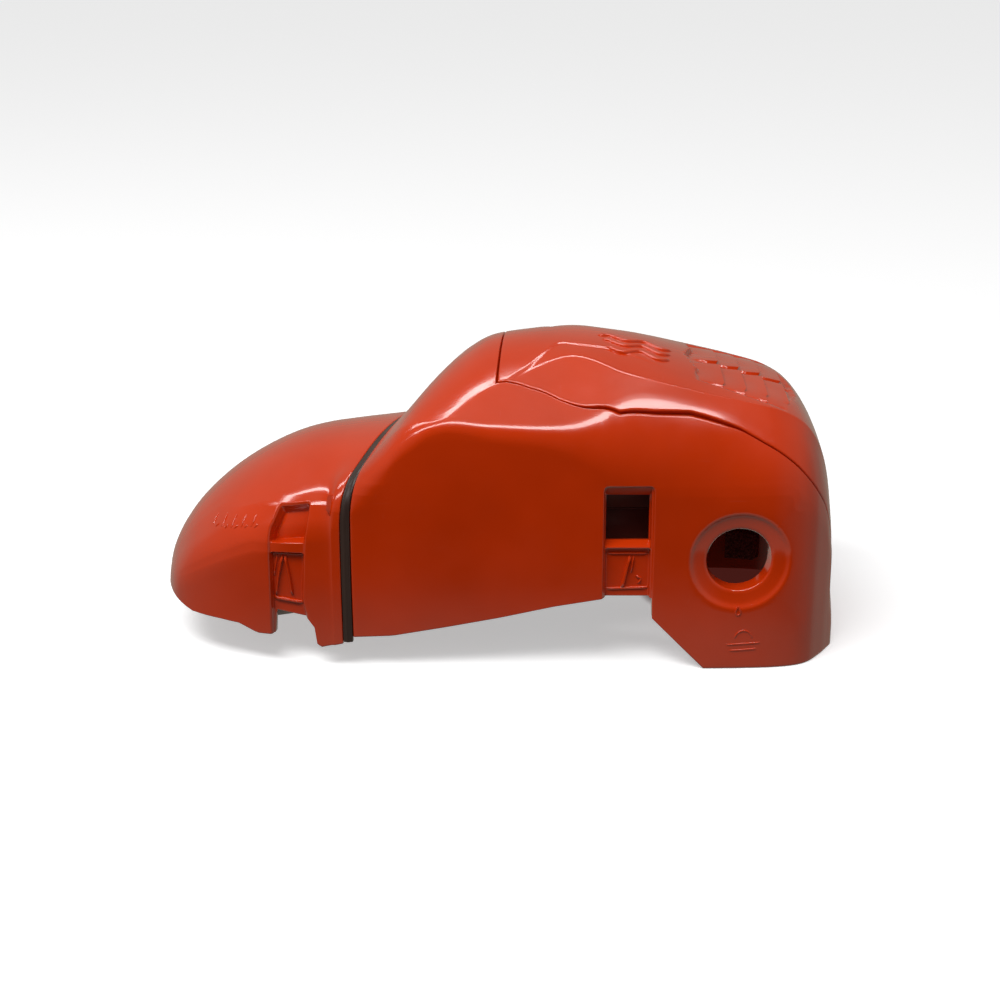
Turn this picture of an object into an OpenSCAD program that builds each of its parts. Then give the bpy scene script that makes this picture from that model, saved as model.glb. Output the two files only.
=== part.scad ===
// Two-piece clip-on engine cover with the air filter it houses.
// Millimetres. +Z up, +X towards the tail, origin under the middle of the outer box.

/* [Shell] */
// Thickness of the moulded covers
wall = 2.2; // [1.8:0.1:2.6]
// How far the side walls lean inwards at the bottom and at the shoulder, as a share of the width
barrel = 0.02; // [0:0.005:0.03]
// Gap between the two covers where the rubber seal sits
seam_gap = 4.8; // [4:0.2:6]
// How far the rubber seal stands proud of the covers
seal_proud = 0.8; // [0.4:0.1:1.2]

/* [Purge bulb port] */
// Radius of the round port in the near wall
port_r = 14; // [12:0.5:15]
// Length of the plain bore behind the dished ring
port_length = 8; // [6:0.5:10]
// Outer radius of the dished ring
dish_r = 21; // [19:0.5:22]

/* [Filter] */
// Height of the middle plane of the filter
filter_z = 66; // [62:1:68]
// Half the width of the filter
filter_half = 38; // [34:1:40]
// Height of one filter half
filter_rise = 24; // [20:1:25]
// Outer radius of the intake neck
neck_r = 14.5; // [13:0.5:15]

/* [Winter shutter] */
// Outer radius of the turning disc
shutter_r = 11.5; // [10:0.5:11.5]
// Radius of each of the three vent holes
vent_r = 3; // [2:0.25:3.25]
// Running clearance between the disc and its rivet, on the radius
shutter_play = 0.05; // [0.02:0.01:0.1]

/* [Hidden] */
$fn = 48;
eps = 0.01;
slip = 0.15;
seam_slip = 0.4;
tip_x = 148;
seam_x = -44;
orange = [0.78, 0.27, 0.06];
black = [0.06, 0.06, 0.065];
rubber = [0.03, 0.03, 0.03];
steel = [0.62, 0.63, 0.65];

// Cross sections of the covers, from the seam outwards. Each row is
// [station, half width, shoulder height, ridge half width, ridge height, crown height, shoulder softness]
HOOD = [
    [-44, 59.3, 82, 34, 88.6, 93.5, 16],
    [-34, 59.6, 91, 44, 98, 104.5, 12],
    [-24, 59.8, 103, 52, 108, 117, 8],
    [-13, 60, 110, 55.5, 112, 126, 5],
    [1, 60.3, 107.5, 42, 121, 131.5, 5],
    [30, 60.8, 105, 27, 131, 134, 9],
    [55, 61, 104, 37, 125.7, 131.6, 22],
    [80, 61, 101, 40, 119.8, 125, 24],
    [105, 60.5, 97, 39.5, 114, 118, 24],
    [122, 59, 93, 37.5, 109, 112.5, 22],
    [133, 55, 85, 35, 101, 104, 18],
    [140.5, 46, 71, 31, 86, 89, 14],
    [145, 38.5, 50, 26, 62, 65, 12],
    [147.3, 34, 27, 18, 33, 36, 7],
    [148, 30, 12, 15, 15, 16, 3]
];
NOSE = [
    [-44, 59.3, 82, 34, 88.6, 93.5, 16],
    [-66, 58.8, 77, 33, 85, 90, 16],
    [-86, 57.5, 72, 31.5, 81, 86, 16],
    [-103, 55, 64.5, 30, 74, 79, 16],
    [-119, 50.5, 55.5, 27, 64.5, 69, 14],
    [-132.5, 43, 45, 23, 53, 57, 12],
    [-141, 34, 35.5, 18, 42.4, 46, 10],
    [-146, 22, 28, 11, 33.7, 36, 8],
    [-148, 9, 23, 5, 26.3, 28, 5]
];
// Lower edge of each wall, as [x, z]
HOOD_EDGE = [[-75, 13.4], [-61, 14.5], [-45.5, 15.2], [-22.4, 19.4], [0.7, 24], [24, 29.4], [44.5, 33],
    [65.5, 33], [65.5, 24], [88.5, 0], [160, 0]];
NOSE_EDGE = [[-160, 24], [-146, 24], [-140, 21.6], [-133.8, 19.6], [-120, 19.2], [-112, 18.4],
    [-104, 14.5], [-96.6, 14.3], [-95.4, 24.6], [-81.5, 22], [-78.9, 18], [-78.2, 10.2], [-75.9, 9.2],
    [-66, 11.4], [-10, 11.8]];
NOSE_FAR_EDGE = [[-160, 24], [-146, 24], [-140, 21.6], [-133.8, 19.6], [-126, 14], [-120, 0],
    [-96, 0], [-92, 16], [-82, 18], [-78.2, 10.2], [-75.9, 9.2], [-66, 11.4], [-10, 11.8]];

// Panel patch on the hood, in station numbers and profile numbers
panel_t0 = 4;
panel_t1 = 12;
// Side edge of the panel as [station, profile]
PANEL_EDGE = [[0, 2.95], [4.1, 2.95], [4.47, 2.64], [4.86, 2.32], [5.33, 2.07], [5.84, 1.79],
    [6.43, 1.78], [7.02, 1.82], [7.83, 1.76], [8.35, 1.67], [9.03, 1.57], [9.73, 1.48], [10.4, 1.42],
    [14, 1.4]];
panel_sink = wall + slip;

function curve(a, b, c, d, u) =
    0.5 * (2 * b + (c - a) * u + (2 * a - 5 * b + 4 * c - d) * u * u + (3 * b - a - 3 * c + d) * u * u * u);
function row_at(rows, t) =
    let (n = len(rows) - 1, i = min(max(floor(t), 0), n - 1))
    curve(i > 0 ? rows[i - 1] : 2 * rows[0] - rows[1], rows[i], rows[i + 1],
        i < n - 1 ? rows[i + 2] : 2 * rows[n] - rows[n - 1], t - i);
// How much a cross section leans along X with Y: full at the seam, none at either end
function lean(x) =
    let (far = x < seam_x ? 33 : 64, a = min(abs(x - seam_x) / far, 1))
    0.35 * (1 - (3 * a * a - 2 * a * a * a));
function waist(z) = 1 - barrel * pow((z - 50) / 50, 2);
// Point of a half profile. s runs 0..1 up the wall, 1..2 round the shoulder,
// 2..3 up to the ridge and 3..4 to the crown
function half_profile(r, s, off) =
    let (w = r[1] - off, zc = r[2] - off * 0.6, yr = r[3] - off * 0.5, zr = r[4] - off, zt = r[5] - off,
        run = norm([w - yr, zr - zc]), d2 = min(r[6], 0.9 * run), z1 = zc - min(r[6], 0.6 * zc),
        ey = (yr - w) / run, ez = (zr - zc) / run, u = s - floor(min(s, 3.999)), v = 1 - u)
    s <= 1 ? [w, z1 * s]
    : s < 2 ? [(v * v + 2 * u * v) * w + u * u * (w + ey * d2),
        v * v * z1 + 2 * u * v * zc + u * u * (zc + ez * d2)]
    : s < 3 ? [w + ey * d2 + (yr - w - ey * d2) * u, zc + ez * d2 + (zr - zc - ez * d2) * u]
    : [yr * v, zt - (zt - zr) * v * v];
// Point of the skin: s runs 0..8 from the near lower edge over the crown to the far one
function skin(rows, t, s, off) =
    let (r = row_at(rows, t), side = s < 4 ? -1 : 1, p = half_profile(r, s < 4 ? s : 8 - s, off),
        y = side * p[0] * waist(p[1]),
        reach = r[0] < seam_x ? tip_x + seam_x : tip_x - seam_x,
        x = seam_x + (r[0] - seam_x) * (1 - off / reach))
    [x + lean(r[0]) * y, y, p[1]];

function mirrored(s) = concat(s, [for (i = [len(s) - 2:-1:0]) 8 - s[i]]);
function tri(a, b, c, d, flip) = flip ? [[a, c, b], [a, d, c]] : [[a, b, c], [a, c, d]];

// Closed sheet between two grids of points; a closed tip joins across the last row
module sheet(outer, inner, closed_tip = false, flip = false) {
    m = len(outer);
    n = len(outer[0]);
    base = m * n;
    points = concat([for (row = outer) each row], [for (row = inner) each row]);
    last = (m - 1) * n;
    skins = [for (i = [0:m - 2], j = [0:n - 2])
        each concat(tri(i * n + j, i * n + j + 1, i * n + n + j + 1, i * n + n + j, flip),
            tri(base + i * n + j, base + i * n + j + 1, base + i * n + n + j + 1,
                base + i * n + n + j, !flip))];
    first_rim = [for (j = [0:n - 2]) each tri(j, base + j, base + j + 1, j + 1, flip)];
    last_rim = [for (j = [last:last + n - 2]) each tri(j, j + 1, base + j + 1, base + j, flip)];
    tip = [for (k = [[for (j = [0:n - 1]) last + j], [for (j = [n - 1:-1:0]) base + last + j]])
        flip ? [for (q = [n - 1:-1:0]) k[q]] : k];
    tip_rim = tri(last + n - 1, last, base + last, base + last + n - 1, flip);
    low_rims = [for (i = [0:m - 2])
        each concat(tri(i * n, i * n + n, base + i * n + n, base + i * n, flip),
            tri(i * n + n - 1, base + i * n + n - 1, base + i * n + 2 * n - 1, i * n + 2 * n - 1, flip))];
    end = closed_tip ? concat(tip, tip_rim) : last_rim;
    polyhedron(points, concat(skins, first_rim, low_rims, end), convexity = 8);
}

module patch(rows, t, s, off_out, off_in, closed_tip = false, flip = false) {
    sheet([for (a = t) [for (b = s) skin(rows, a, b, off_out)]],
        [for (a = t) [for (b = s) skin(rows, a, b, off_in)]], closed_tip, flip);
}

// Closed solid under a run of the skin, down to the floor
module core(rows, t, s, off, flip = false) {
    m = len(t);
    n = len(s);
    points = [for (a = t) each [for (b = s) skin(rows, a, b, off)]];
    top = [for (i = [0:m - 2], j = [0:n - 2])
        each tri(i * n + j, i * n + j + 1, i * n + n + j + 1, i * n + n + j, flip)];
    bottom = [for (i = [0:m - 2]) each tri(i * n + n - 1, i * n, i * n + n, i * n + 2 * n - 1, flip)];
    ends = [for (k = [[for (j = [n - 1:-1:0]) j], [for (j = [0:n - 1]) (m - 1) * n + j]])
        flip ? [for (q = [n - 1:-1:0]) k[q]] : k];
    polyhedron(points, concat(top, bottom, ends), convexity = 6);
}

// Everything under a wall's lower edge, on the near side (-1) or the far side (1)
module under(edge, side) {
    along_y(concat(edge, [[edge[len(edge) - 1][0], -20], [edge[0][0], -20]]),
        side > 0 ? 0 : -100, side > 0 ? 100 : eps);
}

// Box between two corners
module box(a, b) {
    translate(a) cube(b - a);
}

// Outline in X and Z, pushed along Y from one y to another
module along_y(outline, y0, y1) {
    translate([0, y1, 0]) rotate([90, 0, 0]) linear_extrude(y1 - y0) polygon(outline);
}

// Round bar along X from one x to another
module bar_x(x0, x1, r, y, z) {
    translate([x0, y, z]) rotate([0, 90, 0]) cylinder(r = r, h = x1 - x0);
}

// Round bar or cone along Y from one y to another
module bar_y(y0, y1, r0, r1, x, z) {
    translate([x, y0, z]) rotate([-90, 0, 0]) cylinder(r1 = r0, r2 = r1, h = y1 - y0);
}

function panel_s(t) = lookup(t, PANEL_EDGE);

module both_sides() {
    children();
    mirror([0, 1, 0]) children();
}

function wall_s(e) = [0, 0.5, 1, for (k = [1:8]) 1 + (e - 1 - 2 * step) * k / 8];
function crown_s(e) = [(e + 3) / 2, 3, 3.3, 3.65, 4];
step = 0.01;
// Station and profile numbers of the hood skin, with a step where the panel recess starts and ends
HOOD_T0 = [0.22, 0.5, 0.75, 1, 1.5, 2, 2.5, 3, 3.5];
HOOD_T1 = [4.47, 4.86, 5.33, 5.84, 6.43, 7.02, 7.83, 8.35, 9.03, 9.5, 10, 10.5, 11, 11.4, 11.7];
HOOD_T2 = [12.6, 13, 13.5, 14];
function hood_t(a, b) = concat(HOOD_T0, [a - step, a + step], HOOD_T1, [b - 2 * step, b + 2 * step], HOOD_T2);
function hood_s(e) = mirrored(concat(wall_s(e), [e + step], crown_s(e)));
function sunk(t, s, a, b, c) = t > a && t < b && s > c && s < 8 - c ? panel_sink : 0;
// The inner skin steps down outside the recess, so the wall keeps its thickness round the edge
inner_t0 = panel_t0 - 0.2;
inner_t1 = panel_t1 + 0.4;
inner_s = 0.15;

// Clip recess in the side of the filter hood
rear_clip = [44.5, 65.5];
rear_window = [58, 83.6];
rear_clip_low = 30;
// Clip recess in the side of the cylinder hood
FRONT_POCKET = [[-93.7, 71.8], [-79.2, 74.2], [-81.9, 57.5], [-97.7, 57.5], [-97.5, 62]];
FRONT_FACE = [[-97.8, 54], [-82.2, 54], [-83.4, 31], [-82, 0], [-98.2, 0], [-97.9, 30]];
FRONT_BACK = [[-95, 75.5], [-77, 78], [-79.6, 50], [-80.6, 19], [-100.4, 19], [-100.4, 62]];
port = [102.5, 50];
port_face = -58.2;
boss_x = [-15.1, -6.5];
BOSSES = [[52, 42], [52, 72], [-52, 42], [-52, 72]];
STUDS = [[22, 14], [22, -14], [76, 22], [76, -22]];
louvre_field = [84, 128];
LOUVRES = [87.4, 97, 106.6, 116.2];
louvre_half = 26;

module filter_hood() {
    color(orange)
    difference() {
        union() {
            sheet([for (t = hood_t(panel_t0, panel_t1), e = panel_s(t)) [for (s = hood_s(e))
                    skin(HOOD, t, s, sunk(t, s, panel_t0, panel_t1, e))]],
                [for (t = hood_t(inner_t0, inner_t1), e = panel_s(t) - inner_s) [for (s = hood_s(e))
                    skin(HOOD, t, s, wall + sunk(t, s, inner_t0, inner_t1, e))]], true);
            both_sides() {
                box([rear_clip[0] - 2, -59, rear_clip_low], [rear_clip[1] + 2, -53, rear_window[0] + 0.5]);
                for (z = [42, 72]) {
                    bar_x(boss_x[0], boss_x[1], 4.2, -52, z);
                    box([boss_x[0], -58.4, z - 2], [boss_x[1], -52, z + 2]);
                }
            }
            bar_y(-59, -55.5, dish_r + 1.5, dish_r + 1.5, port[0], port[1]);
            bar_y(-58, port_face + port_length, port_r + 2.5, port_r + 2.5, port[0], port[1]);
            box([22, -1.1, 103], [40, 1.1, 130]);
            box([30, -9, 103], [32.2, 9, 129.8]);
            box([20, -11, 102], [42, 11, 104]);
        }
        for (side = [-1, 1]) under(HOOD_EDGE, side);
        both_sides() {
            box([rear_clip[0], -70, rear_window[0]], [rear_clip[1], -50, rear_window[1]]);
            box([rear_clip[0], -70, 0], [rear_clip[1], -56.5, rear_window[0] - 2.5]);
        }
        for (b = BOSSES) bar_x(boss_x[0] - 1, boss_x[1] - 1, 1.6, b[0], b[1]);
        bar_y(-62, port_face, dish_r + 2.4, port_r + 1.6, port[0], port[1]);
        bar_y(-62, port_face + port_length + 1, port_r, port_r, port[0], port[1]);
        for (p = STUDS) translate([p[0], p[1], 100]) cylinder(r = 2.3, h = 40);
        box([louvre_field[0], -louvre_half, 90], [louvre_field[1], louvre_half, 125]);
    }
}

NOSE_T = [0.11, 0.25, 0.6, 1, 1.5, 2, 2.5, 3, 3.5, 4, 4.5, 5, 5.5, 6, 6.5, 7, 7.5, 8];
CORE_S = mirrored([0, 0.5, 1, 1.25, 1.5, 1.75, 2, 2.5, 3, 3.3, 3.65, 4]);
// Rivets of the heat shield as [x, z, distance of the wall's face from the middle]
SHIELD_RIVETS = [[-73.5, 50, 58.6], [-73.5, 31, 58.5]];

module cylinder_hood() {
    color(orange)
    difference() {
        union() {
            patch(NOSE, NOSE_T, CORE_S, 0, wall, true, true);
            both_sides() {
                intersection() {
                    along_y(FRONT_BACK, -60, -49.5);
                    core(NOSE, [1, 1.5, 2, 2.5, 3, 3.5], CORE_S, 1.2, true);
                }
                for (p = SHIELD_RIVETS) bar_y(-p[2] + 1, 9.3 - p[2], 3.2, 3.2, p[0], p[1]);
            }
        }
        under(NOSE_EDGE, -1);
        under(NOSE_FAR_EDGE, 1);
        both_sides() {
            along_y(FRONT_POCKET, -70, -51.5);
            along_y(FRONT_FACE, -70, -54);
            for (p = SHIELD_RIVETS) bar_y(-p[2] + 3, 12 - p[2], 1.55, 1.55, p[0], p[1]);
        }
    }
}

SEAM_S = mirrored([0.19, 0.5, 1, 1.25, 1.5, 1.75, 2, 2.5, 3, 3.3, 3.65, 4]);
module seam_seal() {
    color(rubber)
    patch([row_at(NOSE, 0.1), HOOD[0], row_at(HOOD, 0.21)], [0, 1, 2], SEAM_S, -seal_proud, wall);
}

// The frame stops higher up than the seal, so the walls hide its lower ends
FRAME_S = mirrored([0.32, 0.5, 1, 1.25, 1.5, 1.75, 2, 2.5, 3, 3.3, 3.65, 4]);
module seam_frame() {
    color(black)
    patch([row_at(NOSE, 0.25), row_at(NOSE, 0.11), HOOD[0], row_at(HOOD, 0.22), row_at(HOOD, 0.5)],
        [0, 1, 2, 3, 4], FRAME_S, wall + seam_slip, wall + seam_slip + 2);
}

PANEL_T = concat([panel_t0 + 0.03, 4.3], HOOD_T1, [panel_t1 - 0.1]);
function panel_row(t) = mirrored(concat([panel_s(t) + 0.04], crown_s(panel_s(t) + 0.04)));
module top_panel() {
    color(orange)
    difference() {
        union() {
            sheet([for (t = PANEL_T) [for (s = panel_row(t)) skin(HOOD, t, s, 0)]],
                [for (t = PANEL_T) [for (s = panel_row(t)) skin(HOOD, t, s, wall - slip)]]);
            for (p = STUDS) translate([p[0], p[1], p[0] < 50 ? 122 : 113])
                cylinder(r = 2, h = 9);
        }
        for (x = LOUVRES) box([x, -louvre_half + 2, 90], [x + 3.2, louvre_half - 2, 130]);
    }
}

module panel_push_nuts() {
    color(steel)
    for (p = STUDS) translate([p[0], p[1], p[0] < 50 ? 124.6 : 115.1])
        difference() {
            cylinder(r = 4, h = 0.9);
            translate([0, 0, -1]) cylinder(r = 2.02, h = 3);
        }
}

wall_x = [-17.7, -15.3];
vent_z = 101;
vent_ring = 6.9;
VENTS = [90, 210, 330];
module vents(x0, x1) {
    for (a = VENTS) bar_x(x0, x1, vent_r, vent_ring * cos(a), vent_z + vent_ring * sin(a));
}

module bulkhead() {
    color(black)
    difference() {
        intersection() {
            box([wall_x[0], -70, 23], [wall_x[1], 70, 140]);
            core(HOOD, [0, 0.5, 1, 1.5, 2, 2.5, 3, 3.5, 4], CORE_S, wall + 0.5);
        }
        bar_x(-30, -10, neck_r + 2.8, 0, filter_z);
        box([-30, -neck_r - 2.8, 0], [-10, neck_r + 2.8, filter_z]);
        vents(-30, -10);
        bar_x(-30, -10, 2 + shutter_play, 0, vent_z);
        for (b = BOSSES) bar_x(-30, -10, 1.9, b[0], b[1]);
    }
}

module bulkhead_screws() {
    color(steel)
    for (b = BOSSES)
        difference() {
            union() {
                bar_x(wall_x[0] - 2.4, wall_x[0] - 0.05, 3.4, b[0], b[1]);
                bar_x(wall_x[0] - 0.5, boss_x[1] - 1.5, 1.55, b[0], b[1]);
            }
            translate([wall_x[0] - 3, b[0], b[1]]) rotate([0, 90, 0]) cylinder(r = 1.7, h = 1.9, $fn = 6);
        }
}

disc_x = [-15.1, -13.5];
module winter_shutter() {
    color(orange)
    difference() {
        union() {
            bar_x(disc_x[0], disc_x[1], shutter_r, 0, vent_z);
            translate([0, 0, vent_z])
                rotate([60, 0, 0])
                    box([disc_x[1] - 0.5, -1, 6], [disc_x[1] + 2.4, 1, 11]);
        }
        vents(-30, -10);
        bar_x(-30, -10, 2 + shutter_play, 0, vent_z);
    }
}

module shutter_washer() {
    color(steel)
    difference() {
        bar_x(disc_x[1] + 0.1, disc_x[1] + 0.6, 3.7, 0, vent_z);
        bar_x(-30, -10, 2.06, 0, vent_z);
    }
}

module shutter_rivet() {
    color(steel) {
        bar_x(disc_x[1] + 0.65, disc_x[1] + 1.8, 3.7, 0, vent_z);
        bar_x(wall_x[0] - 1, disc_x[1] + 1, 2, 0, vent_z);
        bar_x(wall_x[0] - 1.6, wall_x[0] - 0.05, 3, 0, vent_z);
    }
}

SHIELD_S = mirrored([0.44, 0.8, 1, 1.25, 1.5, 1.75, 2, 2.5, 3, 3.5, 4]);
module heat_shield() {
    color(steel)
    difference() {
        patch(NOSE, [0.9, 1.3, 1.8, 2.2, 2.6, 3, 3.3], SHIELD_S, 9.5, 10.1, false, true);
        both_sides() for (p = SHIELD_RIVETS) bar_y(-p[2], 20 - p[2], 2.1, 2.1, p[0], p[1]);
    }
}

module heat_shield_rivets() {
    color(steel)
    both_sides() for (p = SHIELD_RIVETS) {
        bar_y(-p[2] + 3.2, 11.3 - p[2], 1.5, 1.5, p[0], p[1]);
        bar_y(11.2 - p[2], 12.5 - p[2], 3.4, 2.4, p[0], p[1]);
    }
}

box_x = [-2, 66];
plate_x = -4.5;
neck_x = -26.5;
module filter_backplate() {
    color(black)
    difference() {
        union() {
            translate([0, 0, filter_z])
                box([plate_x, -filter_half, -filter_rise], [box_x[0], filter_half, filter_rise]);
            bar_x(neck_x, plate_x + 0.1, neck_r, 0, filter_z);
        }
        bar_x(-40, 0, neck_r - 2.5, 0, filter_z);
    }
}

// One half of the filter cage, drawn above its split plane
module cage() {
    bay = (box_x[1] - box_x[0] - 8) / 3;
    translate([0, 0, filter_z])
    difference() {
        box([box_x[0] + 0.1, -filter_half, 0.4], [box_x[1], filter_half, filter_rise]);
        box([box_x[0] + 2.1, -filter_half + 2, -1], [box_x[1] - 2, filter_half - 2, filter_rise - 2]);
        for (i = [0:2], j = [-1, 1])
            box([box_x[0] + 3 + i * (bay + 1), j > 0 ? 1 : -filter_half + 3, 0],
                [box_x[0] + 3 + i * (bay + 1) + bay, j > 0 ? filter_half - 3 : -1, filter_rise + 1]);
    }
}

// One pleated sheet, drawn above the split plane
pleats = 10;
module pleated() {
    pitch = (box_x[1] - box_x[0] - 6) / pleats;
    low = 8;
    high = filter_rise - 2.6;
    thick = 0.8;
    top_line = [for (i = [0:2 * pleats]) [i * pitch / 2, i % 2 == 0 ? low : high]];
    translate([box_x[0] + 3, filter_half - 2.4, filter_z])
        rotate([90, 0, 0])
            linear_extrude(2 * filter_half - 4.8)
                polygon(concat(top_line, [for (i = [2 * pleats:-1:0]) top_line[i] - [0, thick * 2.4]]));
}

module flipped() {
    translate([0, 0, 2 * filter_z]) mirror([0, 0, 1]) children();
}

module filter_frame_upper() {
    color(black) cage();
}

module filter_frame_lower() {
    color(black) flipped() cage();
}

module filter_media_upper() {
    color([0.85, 0.83, 0.76]) pleated();
}

module filter_media_lower() {
    color([0.85, 0.83, 0.76]) flipped() pleated();
}

module filter_gasket() {
    color(rubber)
    difference() {
        box([box_x[0] + 0.1, -filter_half, filter_z - 0.35], [box_x[1], filter_half, filter_z + 0.35]);
        box([box_x[0] + 2.1, -filter_half + 2, filter_z - 1], [box_x[1] - 2, filter_half - 2, filter_z + 1]);
    }
}

module intake_grommet() {
    color(rubber)
    translate([0, 0, filter_z])
    rotate([0, 90, 0])
    rotate_extrude($fn = 64)
        polygon([[neck_r + 0.02, wall_x[0] - 3.8], [neck_r + 5, wall_x[0] - 3.8],
            [neck_r + 6, wall_x[0] - 2.8], [neck_r + 6, wall_x[0] - 0.3], [neck_r + 2.5, wall_x[0] - 0.3],
            [neck_r + 2.5, wall_x[1] + 0.3], [neck_r + 6, wall_x[1] + 0.3],
            [neck_r + 6, wall_x[1] + 2.8], [neck_r + 5, wall_x[1] + 3.8], [neck_r + 0.02, wall_x[1] + 3.8]]);
}

module hold_down_pad() {
    color([0.16, 0.16, 0.17])
    box([21, -10, filter_z + filter_rise + 0.4], [41, 10, 102]);
}

module skirt_pads() {
    color([0.16, 0.16, 0.17]) {
        patch(HOOD, [8.5, 9, 9.5], [0.1, 0.3], wall + 0.2, wall + 4);
        patch(HOOD, [8.5, 9, 9.5], [7.7, 7.9], wall + 0.2, wall + 4);
    }
}

filter_hood();
cylinder_hood();
seam_seal();
seam_frame();
top_panel();
panel_push_nuts();
bulkhead();
bulkhead_screws();
winter_shutter();
shutter_washer();
shutter_rivet();
heat_shield();
heat_shield_rivets();
filter_backplate();
filter_frame_upper();
filter_frame_lower();
filter_media_upper();
filter_media_lower();
filter_gasket();
intake_grommet();
hold_down_pad();
skirt_pads();
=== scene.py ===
"""Two-shell engine cover with the air filter it houses, built round its CAD frame."""

import math

import bmesh
import bpy
import numpy as np
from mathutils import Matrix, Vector


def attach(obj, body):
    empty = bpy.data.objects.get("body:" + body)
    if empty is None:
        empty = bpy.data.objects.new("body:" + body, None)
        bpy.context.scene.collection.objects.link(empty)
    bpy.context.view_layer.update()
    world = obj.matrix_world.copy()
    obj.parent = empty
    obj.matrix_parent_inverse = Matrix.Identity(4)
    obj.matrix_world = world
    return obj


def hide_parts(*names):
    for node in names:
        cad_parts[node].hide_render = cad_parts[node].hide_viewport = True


bl_info = {
    "name": "Engine cover with air filter",
    "version": (1, 0, 0),
    "blender": (4, 5, 0),
    "location": "View3D > Sidebar > Cover",
    "description": "Builds a two-shell engine cover, its rubber seam, louvred panel and air filter",
    "category": "Object",
}

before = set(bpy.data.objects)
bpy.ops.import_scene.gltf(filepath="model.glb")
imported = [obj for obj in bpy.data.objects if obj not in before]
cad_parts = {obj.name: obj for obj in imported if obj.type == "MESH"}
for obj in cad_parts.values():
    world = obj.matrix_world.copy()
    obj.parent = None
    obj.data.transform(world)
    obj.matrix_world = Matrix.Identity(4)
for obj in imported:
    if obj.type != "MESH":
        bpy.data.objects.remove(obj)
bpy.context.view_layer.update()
MM = 0.001
TINY = 1e-9

# ---------------------------------------------------------------- the shape of the skin
# Cross sections from the seam outwards: station, half width, shoulder height,
# ridge half width, ridge height, crown height, shoulder softness (all in millimetres).
# A station number counts these rows from the seam. A profile number runs up one side of a cross section:
# 0 at the lower edge, 1 and 2 either side of the shoulder, 3 at the ridge and 4 on the crown.
HOOD = np.array([
    [-44, 59.3, 82, 34, 88.6, 93.5, 16],
    [-34, 59.6, 91, 44, 98, 104.5, 12],
    [-24, 59.8, 103, 52, 108, 117, 8],
    [-13, 60, 110, 55.5, 112, 126, 5],
    [1, 60.3, 107.5, 42, 121, 131.5, 5],
    [30, 60.8, 105, 27, 131, 134, 9],
    [55, 61, 104, 37, 125.7, 131.6, 22],
    [80, 61, 101, 40, 119.8, 125, 24],
    [105, 60.5, 97, 39.5, 114, 118, 24],
    [122, 59, 93, 37.5, 109, 112.5, 22],
    [133, 55, 85, 35, 101, 104, 18],
    [140.5, 46, 71, 31, 86, 89, 14],
    [145, 38.5, 50, 26, 62, 65, 12],
    [147.3, 34, 27, 18, 33, 36, 7],
    [148, 30, 12, 15, 15, 16, 3],
], float)
NOSE = np.array([
    [-44, 59.3, 82, 34, 88.6, 93.5, 16],
    [-66, 58.8, 77, 33, 85, 90, 16],
    [-86, 57.5, 72, 31.5, 81, 86, 16],
    [-103, 55, 64.5, 30, 74, 79, 16],
    [-119, 50.5, 55.5, 27, 64.5, 69, 14],
    [-132.5, 43, 45, 23, 53, 57, 12],
    [-141, 34, 35.5, 18, 42.4, 46, 10],
    [-146, 22, 28, 11, 33.7, 36, 8],
    [-148, 9, 23, 5, 26.3, 28, 5],
], float)
SEAM_X = -44.0
HOOD_END, NOSE_END = len(HOOD) - 1, len(NOSE) - 1
CREASE, NOSE_CREASE = 0.05, 0.1
# Lower edges of the walls, as position along X and height. A foot stops just short of the floor.
FLOOR_GAP = 0.05
HOOD_EDGE = [(-75, 13.4), (-61, 14.5), (-45.5, 15.2), (-22.4, 19.4), (0.7, 24), (24, 29.4), (44.5, 33),
             (65.5, 33), (65.7, 24), (88.5, FLOOR_GAP), (160, FLOOR_GAP)]
NOSE_EDGE = [(-160, 24), (-146, 24), (-140, 21.6), (-133.8, 19.6), (-120, 19.2), (-112, 18.4),
             (-104, 14.5), (-96.6, 14.3), (-96.0, 24.8), (-81.5, 22), (-78.9, 18), (-78.2, 10.2),
             (-75.9, 9.2), (-66, 11.4), (-10, 11.8)]
NOSE_FAR_EDGE = [(-160, 24), (-146, 24), (-140, 21.6), (-133.8, 19.6), (-126, 14), (-120, FLOOR_GAP),
                 (-96, FLOOR_GAP), (-92, 16), (-82, 18), (-78.2, 10.2), (-75.9, 9.2), (-66, 11.4), (-10,
                                                                                                    11.8)]
# Side edge of the top panel as station number and profile number, and its two ends
PANEL_EDGE = [(0, 3.05), (4.04, 3.05), (4.16, 3.0), (4.47, 2.64), (4.86, 2.32), (5.33, 2.07), (5.84, 1.79),
              (6.43, 1.78), (7.02, 1.82), (7.83, 1.76), (8.35, 1.67), (9.03, 1.57), (9.73, 1.48),
              (10.4, 1.42), (14, 1.4)]
PANEL_ENDS = (4.03, 12.0)
WALL = 2.2


def smooth(a, b, v):
    """0 below a, 1 above b, and a smooth step between."""
    u = np.clip((v - a) / (b - a), 0, 1)
    return u * u * (3 - 2 * u)


def table_at(v, table):
    """Value of a two-column table at v."""
    return np.interp(v, [row[0] for row in table], [row[1] for row in table])


def rows_at(rows, t):
    """The cross section at station number t, by a curve through the rows."""
    ext = np.vstack([2 * rows[0] - rows[1], rows, 2 * rows[-1] - rows[-2]])
    i = np.clip(np.floor(t).astype(int), 0, len(rows) - 2)
    u = (t - i)[..., None]
    a, b, c, d = ext[i], ext[i + 1], ext[i + 2], ext[i + 3]
    square, cube = 2 * a - 5 * b + 4 * c - d, 3 * b - a - 3 * c + d
    return 0.5 * (2 * b + (c - a) * u + square * u ** 2 + cube * u ** 3)


def section_x(rows, t):
    """Station position at station numbers t."""
    return rows_at(rows, np.asarray(t, float))[:, 0]


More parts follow.
